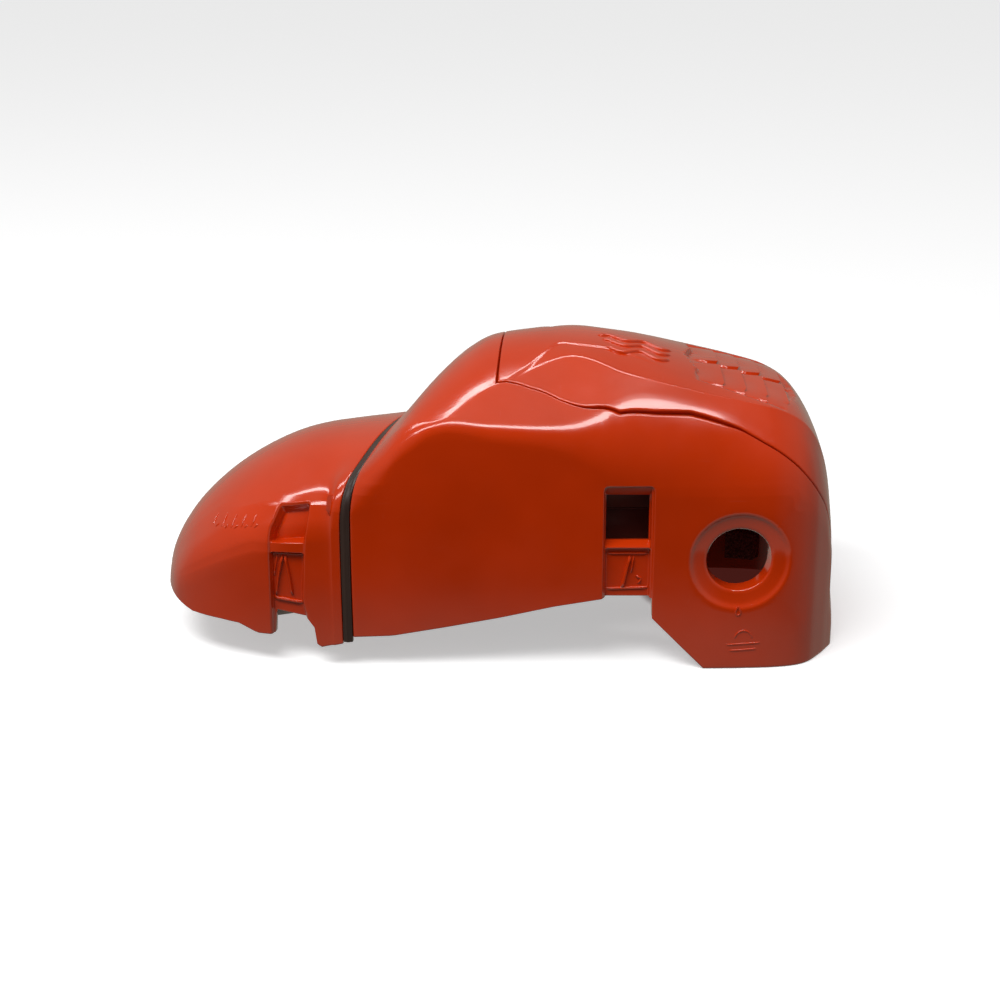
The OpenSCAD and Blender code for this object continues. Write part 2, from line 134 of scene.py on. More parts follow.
def station(rows, x):
    """Station number at station position x."""
    t = np.linspace(0, len(rows) - 1, 1500)
    xs = section_x(rows, t)
    way = 1 if xs[0] < xs[-1] else -1
    return np.interp(np.asarray(x, float) * way, xs * way, t)


def raw_profile(r, s):
    """Half width and height at profile number s, before the ridge is rounded."""
    w, zc, yr, zr, zt, soft = (r[..., k] for k in range(1, 7))
    run = np.hypot(w - yr, zr - zc)
    d2 = np.minimum(soft, 0.9 * run)
    z1 = zc - np.minimum(soft, 0.6 * zc)
    ay, az = w + (yr - w) / run * d2, zc + (zr - zc) / run * d2
    u = s - np.floor(np.minimum(s, 3.999))
    v = 1 - u
    part = [s <= 1, s < 2, s < 3]
    y = np.select(part, [w, (v * v + 2 * u * v) * w + u * u * ay, ay + (yr - ay) * u], yr * v)
    curve = v * v * z1 + 2 * u * v * zc + u * u * az
    return y, np.select(part, [z1 * s, curve, az + (zr - az) * u], zt - (zt - zr) * v * v)


def half_profile(r, s, crease):
    """Half width and height at profile number s: wall, shoulder, band, crown. The ridge is rounded."""
    y, z = raw_profile(r, s)
    (ya, za), (yb, zb), (yc, zc) = (raw_profile(r, np.full_like(s, 3 + v)) for v in (-crease, 0.0, crease))
    u = np.clip((s - 3 + crease) / (2 * crease), 0, 1)
    near = np.abs(s - 3) < crease
    y = np.where(near, (1 - u) ** 2 * ya + 2 * u * (1 - u) * yb + u * u * yc, y)
    z = np.where(near, (1 - u) ** 2 * za + 2 * u * (1 - u) * zb + u * u * zc, z)
    return y * (1 - 0.02 * ((z - 50) / 50) ** 2), z


def lean(x):
    """How much a cross section leans along X with Y: full at the seam, none at either end."""
    far = np.where(x < SEAM_X, 33.0, 64.0)
    a = np.minimum(np.abs(x - SEAM_X) / far, 1)
    return 0.35 * (1 - (3 * a * a - 2 * a ** 3))


def skin(rows, t, s, side, crease=CREASE):
    """Points of the skin; s is 0 at the lower edge and 4 on the crown, side -1 near and 1 far."""
    r = rows_at(rows, t)
    y, z = half_profile(r, s, crease)
    y = y * side
    return np.stack([r[..., 0] + lean(r[..., 0]) * y, y, z], -1)


def outward(rows, t, s, side, crease=CREASE):
    """Unit normals of the skin."""
    h = 0.01

    def at(dt, ds):
        return skin(rows, np.clip(t + dt, 0, len(rows) - 1), np.clip(s + ds, 0, 4), side, crease)

    v = np.cross(at(h, 0) - at(-h, 0), at(0, h) - at(0, -h))
    v /= np.maximum(np.linalg.norm(v, axis=-1, keepdims=True), TINY)
    from_middle = at(0, 0) - np.array([np.median(rows[:, 0]), 0, 40.0])
    return v * np.where((v * from_middle).sum(-1, keepdims=True) < 0, -1.0, 1.0)


def profile_for_height(rows, t, z, crease=CREASE):
    """Profile number where the skin is at height z."""
    r = rows_at(rows, t)
    lo, hi = np.zeros_like(z), np.full_like(z, 3.95)
    for _ in range(26):
        mid = (lo + hi) / 2
        below = half_profile(r, mid, crease)[1] < z
        lo, hi = np.where(below, mid, lo), np.where(below, hi, mid)
    return (lo + hi) / 2


def on_wall(rows, points, side=-1):
    """Points and normals of the skin at positions given as x and z."""
    x, z = np.array(points, float).T
    t = station(rows, x)
    s = profile_for_height(rows, t, z)
    y = np.abs(skin(rows, t, s, side)[..., 1]) * side
    t = station(rows, x - lean(x) * y)
    return skin(rows, t, s, side), outward(rows, t, s, side)


def on_crown(points):
    """Points and normals of the hood's crown at positions given as x and y."""
    x, y = np.array(points, float).T
    t = station(HOOD, x)
    s = 4 - np.abs(y) / (rows_at(HOOD, t)[:, 3] * 0.955)
    mirror = np.stack([np.ones_like(y), np.where(y < 0, 1.0, -1.0), np.ones_like(y)], -1)
    return skin(HOOD, t, s, -1) * mirror, outward(HOOD, t, s, -1) * mirror


def per_profile(t, e, side=-1):
    """Millimetres of hood skin to one profile number, just above the panel's side edge."""
    reach = 0.05
    return np.linalg.norm(skin(HOOD, t, e + reach, side) - skin(HOOD, t, e, side), axis=1) / reach


# ---------------------------------------------------------------- grid lines and mesh
def lines(*parts):
    """Sorted grid lines from several lists, keeping the first of any that nearly meet."""
    kept = []
    for part in parts:
        for v in part:
            if all(abs(v - k) > 0.09 for k in kept):
                kept.append(float(v))
    return np.array(sorted(kept))


# How far a recess's side runs inwards from top to bottom
DRAFT = 0.3


def edge_lines(e, sign, r=0.6):
    """Lines that shape a rounded step at e, falling towards the given side."""
    steps = [-r, -0.72 * r, -0.42 * r, -0.16 * r, 0, DRAFT, DRAFT + 0.2 * r, DRAFT + 0.55 * r, DRAFT + r]
    return [e + sign * v for v in steps]


def drop(u, depth, r=0.6, draft=DRAFT):
    """Depth of a rounded step at distance u inside its edge."""
    top = r - np.sqrt(np.maximum(r * r - np.clip(u + r, 0, r) ** 2, 0))
    mid = r + (depth - 2 * r) * np.clip(u / draft, 0, 1)
    low = depth - r + np.sqrt(np.maximum(r * r - np.clip(draft + r - u, 0, r) ** 2, 0))
    return np.select([u < -r, u < 0, u < draft], [0.0, top, mid], low)


def in_rect(x, z, x0, x1, z0, z1, r=0.0):
    """Distance inside a rectangle with rounded corners; negative outside."""
    qx = np.abs(x - (x0 + x1) / 2) - (x1 - x0) / 2 + r
    qz = np.abs(z - (z0 + z1) / 2) - (z1 - z0) / 2 + r
    return -(np.hypot(np.maximum(qx, 0), np.maximum(qz, 0)) + np.minimum(np.maximum(qx, qz), 0) - r)


def round_off(x, z, cx, cz, r0, r1, qx=0, qz=0):
    """Bends square grid lines about a centre into circles, fading out at r1; qx and qz pick a corner."""
    dx, dz = x - cx, z - cz
    m = np.maximum(np.abs(dx), np.abs(dz))
    k = 1 - smooth(r0, r1, m)
    if qx:
        k = np.where((dx * qx > 0) & (dz * qz > 0), k, 0)
    f = 1 + k * (m / np.maximum(np.hypot(dx, dz), TINY) - 1)
    return cx + dx * f, cz + dz * f


def add_object(name, data):
    """A new object in the scene."""
    obj = bpy.data.objects.new(name, data)
    bpy.context.scene.collection.objects.link(obj)
    return obj


def mesh_object(name, verts, faces):
    """A mesh object in metres from points in millimetres."""
    mesh = bpy.data.meshes.new(name)
    mesh.from_pydata((np.asarray(verts, float) * MM).tolist(), [], faces)
    mesh.validate()
    return add_object(name, mesh)


def shade(mesh, sharp):
    """Smooth shading, with the edges that turn by more than the angle sharp kept crisp."""
    mesh.polygons.foreach_set("use_smooth", [True] * len(mesh.polygons))
    mesh.set_sharp_from_angle(angle=math.radians(sharp))


def evaluated_mesh(obj):
    """The object's mesh as its modifiers leave it. The modifiers are taken off."""
    graph = bpy.context.evaluated_depsgraph_get()
    mesh = bpy.data.meshes.new_from_object(obj.evaluated_get(graph))
    obj.modifiers.clear()
    return mesh


def shell_parts(outer, inner, gone=None, zip_end=False):
    """Points and faces of a closed sheet between two equal grids, with cells left out where gone is set."""
    m, n = outer.shape[:2]
    base = m * n
    keep = np.ones((m - 1, n - 1), bool) if gone is None else ~gone
    idx = np.arange(m * n).reshape(m, n)
    a, b, c, d = idx[:-1, :-1][keep], idx[:-1, 1:][keep], idx[1:, 1:][keep], idx[1:, :-1][keep]
    blocks = [np.stack([a, b, c, d], 1), np.stack([d, c, b, a], 1) + base]
    pad = np.zeros((m + 1, n + 1), bool)
    pad[1:-1, 1:-1] = keep
    for i, j in zip(*np.nonzero(pad[:-1, 1:-1] != pad[1:, 1:-1])):
        if zip_end and i == m - 1:
            continue
        p, q = idx[i, j], idx[i, j + 1]
        if pad[i, j + 1]:
            p, q = q, p
        blocks.append(np.array([[q, p, p + base, q + base]]))
    for i, j in zip(*np.nonzero(pad[1:-1, :-1] != pad[1:-1, 1:])):
        p, q = idx[i, j], idx[i + 1, j]
        if pad[i + 1, j]:
            p, q = q, p
        blocks.append(np.array([[p, q, q + base, p + base]]))
    if zip_end:
        last = idx[-1]
        for j in range((n - 1) // 2):
            p, q, r, s = last[j], last[j + 1], last[n - 2 - j], last[n - 1 - j]
            quad = [p, q, r, s] if q != r else [p, q, s]
            blocks.append(np.array([quad]))
            blocks.append(np.array([quad[::-1]]) + base)
        blocks.append(np.array([[last[0], last[-1], last[-1] + base, last[0] + base]]))
    faces = [f for b in blocks for f in b.tolist()]
    return np.concatenate([outer.reshape(-1, 3), inner.reshape(-1, 3)]), faces


def closed_object(name, parts, material, even=False):
    """One object from several closed parts, each turned so that its faces point outwards."""
    bm = bmesh.new()
    for verts, faces in parts:
        part = bmesh.new()
        points = [part.verts.new(v) for v in (np.asarray(verts, float) * MM).tolist()]
        for f in faces:
            if len(set(f)) > 2:
                part.faces.new([points[k] for k in f])
        bmesh.ops.delete(part, geom=[v for v in part.verts if not v.link_faces], context="VERTS")
        if part.calc_volume(signed=True) < 0:
            bmesh.ops.reverse_faces(part, faces=part.faces)
        mesh = bpy.data.meshes.new("part")
        part.to_mesh(mesh)
        part.free()
        bm.from_mesh(mesh)
        bpy.data.meshes.remove(mesh)
    mesh = bpy.data.meshes.new(name)
    bm.to_mesh(mesh)
    bm.free()
    shade(mesh, 50)
    mesh.materials.append(material)
    obj = add_object(name, mesh)
    if even:
        obj.modifiers.new("even_shading", "WEIGHTED_NORMAL").keep_sharp = True
        obj.data = evaluated_mesh(obj)
        obj.data.name = name
    return obj


def tube_faces(rows, columns, ring=False):
    """Faces over rows of points that close on themselves: a ring of rows, or a tube with capped ends."""
    faces = []
    for i in range(rows if ring else rows - 1):
        here, there = i * columns, (i + 1) % rows * columns
        for j in range(columns):
            k = (j + 1) % columns
            faces.append([here + j, here + k, there + k, there + j])
    if not ring:
        faces += [list(range(columns))[::-1], [(rows - 1) * columns + j for j in range(columns)]]
    return faces


def lathe(profile, centre=(0, 0, 0), axis="z", turns=36):
    """A closed ring or plug: profile holds (distance along the axis, radius) and is closed on itself."""
    a = np.arange(turns) * 2 * math.pi / turns
    along, radius = np.array(profile, float).T
    u, v = radius[:, None] * np.cos(a), radius[:, None] * np.sin(a)
    w = np.repeat(along[:, None], turns, 1)
    order = {"x": (w, u, v), "y": (u, w, v), "z": (u, v, w)}[axis]
    return np.stack(order, -1).reshape(-1, 3) + np.array(centre, float), tube_faces(len(profile), turns,
                                                                                    True)


def block(lo, hi, r=0.4):
    """A box between two corners with rounded edges."""
    lo, hi = np.array(lo, float), np.array(hi, float)
    outline = []
    for k, (sx, sy) in enumerate([(-1, -1), (1, -1), (1, 1), (-1, 1)]):
        turn = math.pi * (1 + k / 2)
        for c, s in [(math.cos(j * math.pi / 8), math.sin(j * math.pi / 8)) for j in range(5)]:
            cx, cy = c * math.cos(turn) - s * math.sin(turn), c * math.sin(turn) + s * math.cos(turn)
            outline.append((sx, sy, cx, cy))
    levels = [(lo[2], 1.0), (lo[2] + 0.3 * r, 0.3), (lo[2] + r, 0),
              (hi[2] - r, 0), (hi[2] - 0.3 * r, 0.3), (hi[2], 1.0)]
    mid, half = (lo + hi) / 2, (hi - lo) / 2
    verts = []
    for z, inset in levels:
        reach = r * (1 - inset)
        verts += [(mid[0] + sx * (half[0] - r) + cx * reach, mid[1] + sy * (half[1] - r) + cy * reach, z)
                  for sx, sy, cx, cy in outline]
    return verts, tube_faces(len(levels), len(outline))


BEAD_SINK = 0.3
BEAD_RING = [(-0.5, -1), (-0.46, 0.35), (-0.36, 0.8), (-0.2, 1), (0.2, 1), (0.36, 0.8), (0.46, 0.35), (0.5,
                                                                                                       -1)]


def bead(p, n, width, height):
    """A raised strip with a rounded top along points p with surface normals n, lower at its two ends."""
    side = np.cross(n, np.gradient(p, axis=0))
    side /= np.maximum(np.linalg.norm(side, axis=1, keepdims=True), TINY)
    count = len(p)
    near_end = np.minimum(np.arange(count), np.arange(count)[::-1])
    k = np.clip(0.35 + 0.65 * near_end / 2.0, 0, 1)
    verts = [p[i] + side[i] * a * width + n[i] * (b * height * k[i] if b > 0 else -BEAD_SINK)
             for i in range(count) for a, b in BEAD_RING]
    return verts, tube_faces(count, len(BEAD_RING))


def wall_beads(rows, paths, sink=0.0, side=-1, step=0.8):
    """Beads along paths on a shell's wall, each (points, width, height), set below the skin by sink."""
    parts = []
    for path, wide, high in paths:
        p, n = on_wall(rows, along(path, step), side)
        parts.append(bead(p - n * sink, n, wide, high))
    return parts


def along(points, step=0.8):
    """Points spaced evenly along a polyline."""
    pts = np.array(points, float)
    d = np.concatenate([[0], np.cumsum(np.linalg.norm(np.diff(pts, axis=0), axis=1))])
    u = np.linspace(0, d[-1], max(int(d[-1] / step), 4) + 1)
    return np.stack([np.interp(u, d, pts[:, k]) for k in range(pts.shape[1])], -1)


# Wall lines are squeezed within this height above the lower edge. Both rims are rounded: the lower one by
# its first grid lines, the one at the seam over this length, with grid lines this far from the shell's end.
SQUEEZE = 14
LOW_LINES = [0, 0.1, 0.3, 0.65, 1.2, 2.2, 4]
LOW_EDGE = [0.75, 0.4, 0.2, 0.06, 0.0]
SEAM_RIM = 0.9
SEAM_LINES = np.array([0, 0.08, 0.25, 0.5, 0.9, 1.6])
HOOD_START, NOSE_START = -41.8, -46.4


def near_far(halves, k=0):
    """Joins grid k of the near half and of the far half over the crown."""
    return np.concatenate([halves[0][k], halves[1][k][:, ::-1][:, 1:]], axis=1)


def place(x, z_lines, edge, top):
    """Heights of the wall lines at each position along the edge: squeezed above it and under the top."""
    zb = table_at(x, edge)[:, None]
    flat = z_lines[None] * np.minimum(1, top[:, None] / z_lines[-1])
    zk = np.minimum(zb + SQUEEZE, (zb + flat[:, -1:]) / 2)
    return np.where(flat < zk, zb + flat * (zk - zb) / zk, flat)


def with_top(t, s_wall, s_top):
    """Station and profile numbers of a whole half, from those of its wall and the profile numbers above."""
    return np.concatenate([t, np.repeat(t[:, -1:], s_top.shape[1], 1)], 1), np.concatenate([s_wall, s_top],
                                                                                           1)


def round_rims(depth, past):
    """Adds the rounding of the lower edge, and of the seam end where past says how far a line is into it."""
    depth[:, :len(LOW_EDGE)] += LOW_EDGE
    rim = np.clip(past / SEAM_RIM, 0, 1)
    depth += (0.7 * (1 - np.sqrt(1 - rim ** 2)))[:, None]


# ---------------------------------------------------------------- the filter hood
# Clip recess and its lower face as left, right and top; its window as left, right, bottom and top
CLIP = (44.5, 65.5, 83.6)
CATCH = (45.4, 64.4, 55.6)
WINDOW = (45.5, 63.7, 58.4, 79.0)
# The port's middle and radius, the grid rings round it, its dish as radius and depth, and its collar
PORT = (102.5, 50.0)
PORT_R = 14.0
RINGS = [14, 14.3, 14.8, 15.6, 16.4, 16.8, 17.3, 18.2, 19.4, 20.3, 21, 21.6, 22.4, 24, 26.5, 29.5]
DISH = [(14, 3.5), (14.3, 2.95), (14.8, 2.6), (15.6, 2.4), (16.4, 2.25), (17.3, 2.05), (19.4, 1.55),
        (20.3, 1.15), (21, 0.5), (21.6, 0.12), (22.4, 0)]
COLLAR = 10.3
# Open part of the panel's seat under the louvres: its ends and its half width
VENT_FIELD = (84, 128, 26)
SCREWS = [(y, z) for y in (-52, 52) for z in (42, 72)]


def clip_depth(x, z, grow=0.0):
    """Depth of the clip recess: a step, a ramp over its window and a deeper face below the catch."""
    step = drop(in_rect(x, z, CLIP[0], CLIP[1], -20, CLIP[2], 2.0) + grow, 1.5)
    face = drop(in_rect(x, z, CATCH[0], CATCH[1], -20, CATCH[2], 1.0) + grow, 2.4)
    ramp = 3.2 * np.clip((83.0 + grow - z) / 4.5, 0, 1) * (in_rect(x, z, 45, 64.2, 57, 83) + grow > 0)
    return step + face + ramp


def panel_side(t):
    """Profile number of the panel's side edge."""
    return table_at(t, PANEL_EDGE)


def crown_rows(s0, e, gap):
    """Profile numbers from the last wall line over the panel edge and the ridge to the crown."""
    below, ridge, band = 14, 2.84, 8
    cols = [s0 + (e - 0.06 - s0) * k / below for k in range(1, below + 1)]
    cols += [e + v for v in gap]
    start = e + gap[-1]
    cols += [start + np.maximum(ridge - start, 0) * k / band for k in range(1, band + 1)]
    base = np.maximum(cols[-1], ridge)
    cols += [base + (4 - base) * (v - ridge) / (4 - ridge)
             for v in (2.9, 2.93, 2.955, 2.975, 3.0, 3.025, 3.045, 3.07, 3.11, 3.2, 3.32, 3.45, 3.6, 3.75,
                       3.88, 4.0)]
    return np.stack(cols, 1)


def hood_grid():
    """Station and height lines of the filter hood, set so that they run along its features."""
    ring = [s * v for v in RINGS for s in (-1, 1)] + [-11.5, -9, -6.3, -3.2, 0, 3.2, 6.3, 9, 11.5]
    end = section_x(HOOD, PANEL_ENDS[1] + np.array([-0.14, -0.08, -0.04, 0.0, 0.04, 0.08, 0.14]))
    tail = section_x(HOOD, np.arange(10.2, 14.01, 0.16))
    front = section_x(HOOD, [PANEL_ENDS[0]])[0]
    xs = lines(HOOD_START + SEAM_LINES, [HOOD[-1, 0]], end, [PORT[0] + v for v in ring], edge_lines(CLIP[0],
                                                                                                    1),
               edge_lines(CLIP[1], -1), WINDOW[:2], edge_lines(CATCH[0], 1), edge_lines(CATCH[1], -1),
               [front + v for v in (-0.8, -0.5, -0.25, -0.08, 0.12, 0.3, 1.0)],
               np.arange(-39, 44, 2.0), np.arange(48, 62, 2.8),
               tail, [147.9])
    zs = lines([0], [PORT[1] + v for v in ring], WINDOW[2:], edge_lines(CLIP[2], -1), [81.0],
               edge_lines(CATCH[2], -1), LOW_LINES, [6.5, 9.5, 13, 16.5, 86.5])
    return xs, zs


HOOD_HALF_WIDTH, NOSE_HALF_WIDTH = 59.5, 58.5
SEAT_DEPTH = 2.6


def hood_half(xs, zs, side):
    """Outer and inner points of one half of the filter hood, its plain skin and which points are wall."""
    t0 = station(HOOD, xs)
    e0 = panel_side(t0)
    under = skin(HOOD, t0, e0 - 0.12, side)[:, 2] - 2.0
    x = np.repeat(xs[:, None], len(zs), 1)
    z = place(xs + lean(xs) * HOOD_HALF_WIDTH * side, zs, HOOD_EDGE, np.minimum(zs[-1], under))
    for qx, cx in ((-1, CLIP[0] + 2), (1, CLIP[1] - 2)):
        x, z = round_off(x, z, cx, CLIP[2] - 2, 2, 6, qx, 1)
    if side < 0:
        x, z = round_off(x, z, *PORT, DISH[-1][0], RINGS[-1])
    t = np.where(x > HOOD[-1, 0] - 0.05, HOOD_END, station(HOOD, x))
    s_wall = profile_for_height(HOOD, t, z)
    e = panel_side(t[:, -1])
    per_s = per_profile(t[:, -1], e, side)
    gap = [v / per_s for v in (-0.95, -0.65, -0.38, -0.15, 0.0, 0.2, 0.5)]
    t, s = with_top(t, s_wall, crown_rows(s_wall[:, -1], e, gap))
    p = skin(HOOD, t, s, side)
    fx, fz = p[..., 0], p[..., 2]
    wall = np.zeros(s.shape, bool)
    wall[:, :len(zs)] = True
    depth = np.where(wall, clip_depth(fx, fz), 0)
    inside = WALL + np.where(wall, clip_depth(fx, fz, WALL), 0)
    if side < 0:
        rho = np.hypot(fx - PORT[0], fz - PORT[1])
        ring = wall & (rho < 23)
        depth += np.where(ring, table_at(rho, DISH), 0)
        inside = np.where(ring, np.where(rho < 16.9, COLLAR, WALL + table_at(rho - 1.5, DISH)), inside)
    round_rims(depth, HOOD_START + SEAM_RIM - xs)
    # the tail is drawn in under the end of the panel
    draw = 3.8 * smooth(12.02, 12.14, t) * np.clip(fz / 64, 0, 1) * smooth(0.4, 1.4, s)
    depth += draw
    inside += draw
    from_side = (s - panel_side(t)) * per_s[:, None]
    from_front = fx - skin(HOOD, np.full_like(t, PANEL_ENDS[0]), s, side)[..., 0]
    from_end = (PANEL_ENDS[1] - t) * 3.2
    u = np.where(wall, -9, np.minimum(np.minimum(from_side, from_front), from_end))
    depth = np.maximum(depth, drop(u, SEAT_DEPTH, 0.55, 0.2))
    inside = np.maximum(inside, WALL + drop(u + 3, SEAT_DEPTH, 0.5, 0.2))
    n = outward(HOOD, t, s, side)
    return p - n * depth[..., None], p - n * inside[..., None], p, wall


def hood_inner_parts():
    """Screw bosses and their webs, the rib that carries the filter pad, and ribs in the clip recesses."""
    boss = [(-15.1, 1.6), (-15.1, 3.8), (-14.7, 4.2), (-6.9, 4.2), (-6.5, 3.8), (-6.5, 1.6)]
    parts = []
    for y, z in SCREWS:
        parts.append(lathe(boss, (0, y, z), "x", 40))
        y0, y1 = (-58.6, -55.4) if y < 0 else (55.4, 58.6)
        parts.append(block((-15.0, y0, z - 1.6), (-6.6, y1, z + 1.6)))
    parts.append(block((22, -1.1, 103), (40, 1.1, 130.5), 0.3))
    parts.append(block((30, -9, 103), (32.2, 9, 129.4), 0.3))
    parts.append(block((20, -11, 102), (42, 11, 104), 0.6))
    ribs = [([(55.9, 51.5), (53.6, 41), (52.7, 37)], 1.5, 1.5), ([(57.6, 51.5), (56.4, 44)], 0.8, 0.9),
            ([(58.6, 42.6), (60.9, 41.2)], 0.8, 0.9), ([(60.9, 41.2), (59.6, 39.0)], 0.8, 0.9),
            ([(46.6, 52.9), (63.3, 52.9)], 0.9, 0.8), ([(46.4, 36.6), (63.6, 37.2)], 1.2, 0.7)]
    return parts + [part for side in (-1, 1) for part in wall_beads(HOOD, ribs, 3.9, side)]


def raised_marks_rear():
    """A dome on its base under a drop: a plain sign for the pump that sits behind the port."""
    dome = [(105.2 + 3.9 * math.cos(a), 13.6 + 4.6 * math.sin(a)) for a in np.linspace(0.25, math.pi - 0.25,
                                                                                       14)]
    pear = [(102.4, 29.6), (101.2, 27.2), (101.6, 25.9), (102.4, 25.4), (103.2, 25.9), (103.6, 27.2),
            (102.4, 29.6)]
    base, foot = [(98.2, 11.6), (112.4, 12.4)], [(99.6, 8.8), (110.8, 9.5)]
    return wall_beads(HOOD, [(path, 0.8, 0.3) for path in (dome, pear, base, foot)], step=0.5)


def build_filter_hood(material):
    """The rear cover: walls with clip recesses and the port, and the seat of the top panel."""
    xs, zs = hood_grid()
    halves = [hood_half(xs, zs, side) for side in (-1, 1)]
    cuts = []
    for _, _, p, wall in halves:
        x, y, z = np.moveaxis((p[:-1, :-1] + p[1:, 1:]) / 2, -1, 0)
        on = wall[:-1, 1:]
        cut = on & (in_rect(x, z, *WINDOW) > 0)
        cut |= on & (y < 0) & (np.hypot(x - PORT[0], z - PORT[1]) < PORT_R - 0.05)
        cut |= ~on & (x > VENT_FIELD[0]) & (x < VENT_FIELD[1]) & (np.abs(y) < VENT_FIELD[2])
        cuts.append(cut)
    gone = np.concatenate([cuts[0], cuts[1][:, ::-1]], 1)
    parts = [shell_parts(near_far(halves), near_far(halves, 1), gone, zip_end=True)]
    return closed_object("filter_hood_shell", parts + hood_inner_parts() + raised_marks_rear(), material,
                         True)


# ---------------------------------------------------------------- the cylinder hood
# The front clip recess as upright lines, and the slanted lines that its sides really follow, as height and X
FRONT_LEFT, FRONT_RIGHT, FRONT_TOP = -97.7, -82.0, 72.9
FRONT_LEFT_LINE = [(10, -97.9), (31, -97.7), (59, -97.7), (63, -97.2), (72, -93.5), (80, -92.5)]
FRONT_RIGHT_LINE = [(10, -80.6), (19, -80.9), (31, -83.4), (56, -82.0), (60, -81.6), (74, -79.2),
                    (80, -78.8)]
POCKET = (FRONT_LEFT + 0.7, FRONT_RIGHT - 0.7, 57.2, FRONT_TOP - 0.5)
LOWER_FACE = (FRONT_LEFT + 0.7, FRONT_RIGHT - 0.7, 52.4)
# The shield's rivets on either side: half distance between their outer ends, and height
SHIELD_RIVETS = [(58.6, 50), (58.5, 31)]
SHIELD_RIVET_X = -73.5


def front_slant(x, z):
    """Moves the straight sides of the clip recess onto their slanted lines."""
    at_left = table_at(z, FRONT_LEFT_LINE) - FRONT_LEFT
    at_right = table_at(z, FRONT_RIGHT_LINE) - FRONT_RIGHT
    share = np.clip((x - FRONT_LEFT) / (FRONT_RIGHT - FRONT_LEFT), 0, 1)
    shift = at_left + (at_right - at_left) * share
    fade = smooth(-124, -99, x) * (1 - smooth(-80, -56, x))
    tilt = 0.16 * (x + 89) * fade * np.exp(-((z - FRONT_TOP) / 9) ** 2)
    return x + shift * fade, z + np.clip(tilt, -1.4, 1.4)


def front_depth(x, z, grow=0.0):
    """Depth of the front clip recess: a shallow frame, a deep slanted pocket and a lower face."""
    step = drop(in_rect(x, z, FRONT_LEFT, FRONT_RIGHT, -20, FRONT_TOP, 1.5) + grow, 1.1, 0.5)
    down = np.clip((POCKET[3] - z) / (POCKET[3] - POCKET[2]), 0, 1)
    pocket = drop(in_rect(x, z, *POCKET, 1.0) + grow, 1.0, 0.45) * (4.0 + 1.8 * down)
    face = drop(in_rect(x, z, LOWER_FACE[0], LOWER_FACE[1], -20, LOWER_FACE[2], 1.0) + grow, 1.0, 0.45) * 2.5
    return step + pocket + face


def nose_half(xs, zs, side):
    """Outer and inner points of one half of the cylinder hood."""
    x = np.repeat(xs[:, None], len(zs), 1)
    top = 0.962 * rows_at(NOSE, station(NOSE, xs))[:, 5]
    edge = NOSE_EDGE if side < 0 else NOSE_FAR_EDGE
    low = front_slant(xs, table_at(xs, edge))[0] + lean(xs) * NOSE_HALF_WIDTH * side
    z = place(low, zs, edge, np.minimum(zs[-1], top))
    for qx, cx in ((-1, FRONT_LEFT + 1.5), (1, FRONT_RIGHT - 1.5)):
        x, z = round_off(x, z, cx, FRONT_TOP - 1.5, 1.5, 2.6, qx, 1)
    px, pz = front_slant(x, z)
    t = np.clip(station(NOSE, px), 0, NOSE_END)
    s_wall = profile_for_height(NOSE, t, pz, NOSE_CREASE)
    k = np.linspace(0, 1, 33)[1:]
    t, s = with_top(t, s_wall, s_wall[:, -1:] + (4 - s_wall[:, -1:]) * k[None])
    p = skin(NOSE, t, s, side, NOSE_CREASE)
    n = outward(NOSE, t, s, side, NOSE_CREASE)
    depth = np.zeros(s.shape)
    inside = np.full(s.shape, WALL)
    depth[:, :len(zs)] = front_depth(x, z)
    inside[:, :len(zs)] += front_depth(x, z, WALL)
    round_rims(depth, xs - NOSE_START + SEAM_RIM)
    return p - n * depth[..., None], p - n * inside[..., None]


def nose_parts():
    """Gussets under the front catches, the rivet bosses inside, and a row of plain slanted bars."""
    gussets = [([(-92.3, 50.3), (-94.4, 41), (-95.6, 32.2)], 1.3, 1.6),
               ([(-91.2, 50.3), (-89.6, 41), (-88.6, 32.6)], 1.3, 1.6), ([(-94.6, 50.6), (-96.4, 41)], 0.9,
                                                                         0.9),
               ([(-96.6, 30.9), (-84.3, 29.0)], 1.5, 1.0), ([(-96.5, 51.7), (-83.2, 51.3)], 1.0, 0.8)]
    boss = [(1.4, 1.55), (1.4, 3.2), (9.0, 3.2), (9.3, 2.9), (9.3, 1.55)]
    parts = []
    for side in (-1, 1):
        parts += wall_beads(NOSE, gussets, 3.5, side)
        for y, z in SHIELD_RIVETS:
            ring = [(side * (y - inset), radius) for inset, radius in boss]
            parts.append(lathe(ring, (SHIELD_RIVET_X, 0, z), "y", 40))
    bars = []
    for x, z, high in ((-123.6, 59.4, 3.4), (-119.0, 60.8, 3.8), (-114.4, 62.0, 4.0), (-109.8, 63.2, 4.2),
                       (-105.2, 64.2, 4.2)):
        low = z - high / 2
        bars += [([(x, low), (x + 1.9, z + high / 2)], 0.9, 0.35), ([(x + 1.4, low), (x + 3.0, low + 1.4)],
                                                                    0.9, 0.35)]
    return parts + wall_beads(NOSE, bars, step=0.6)


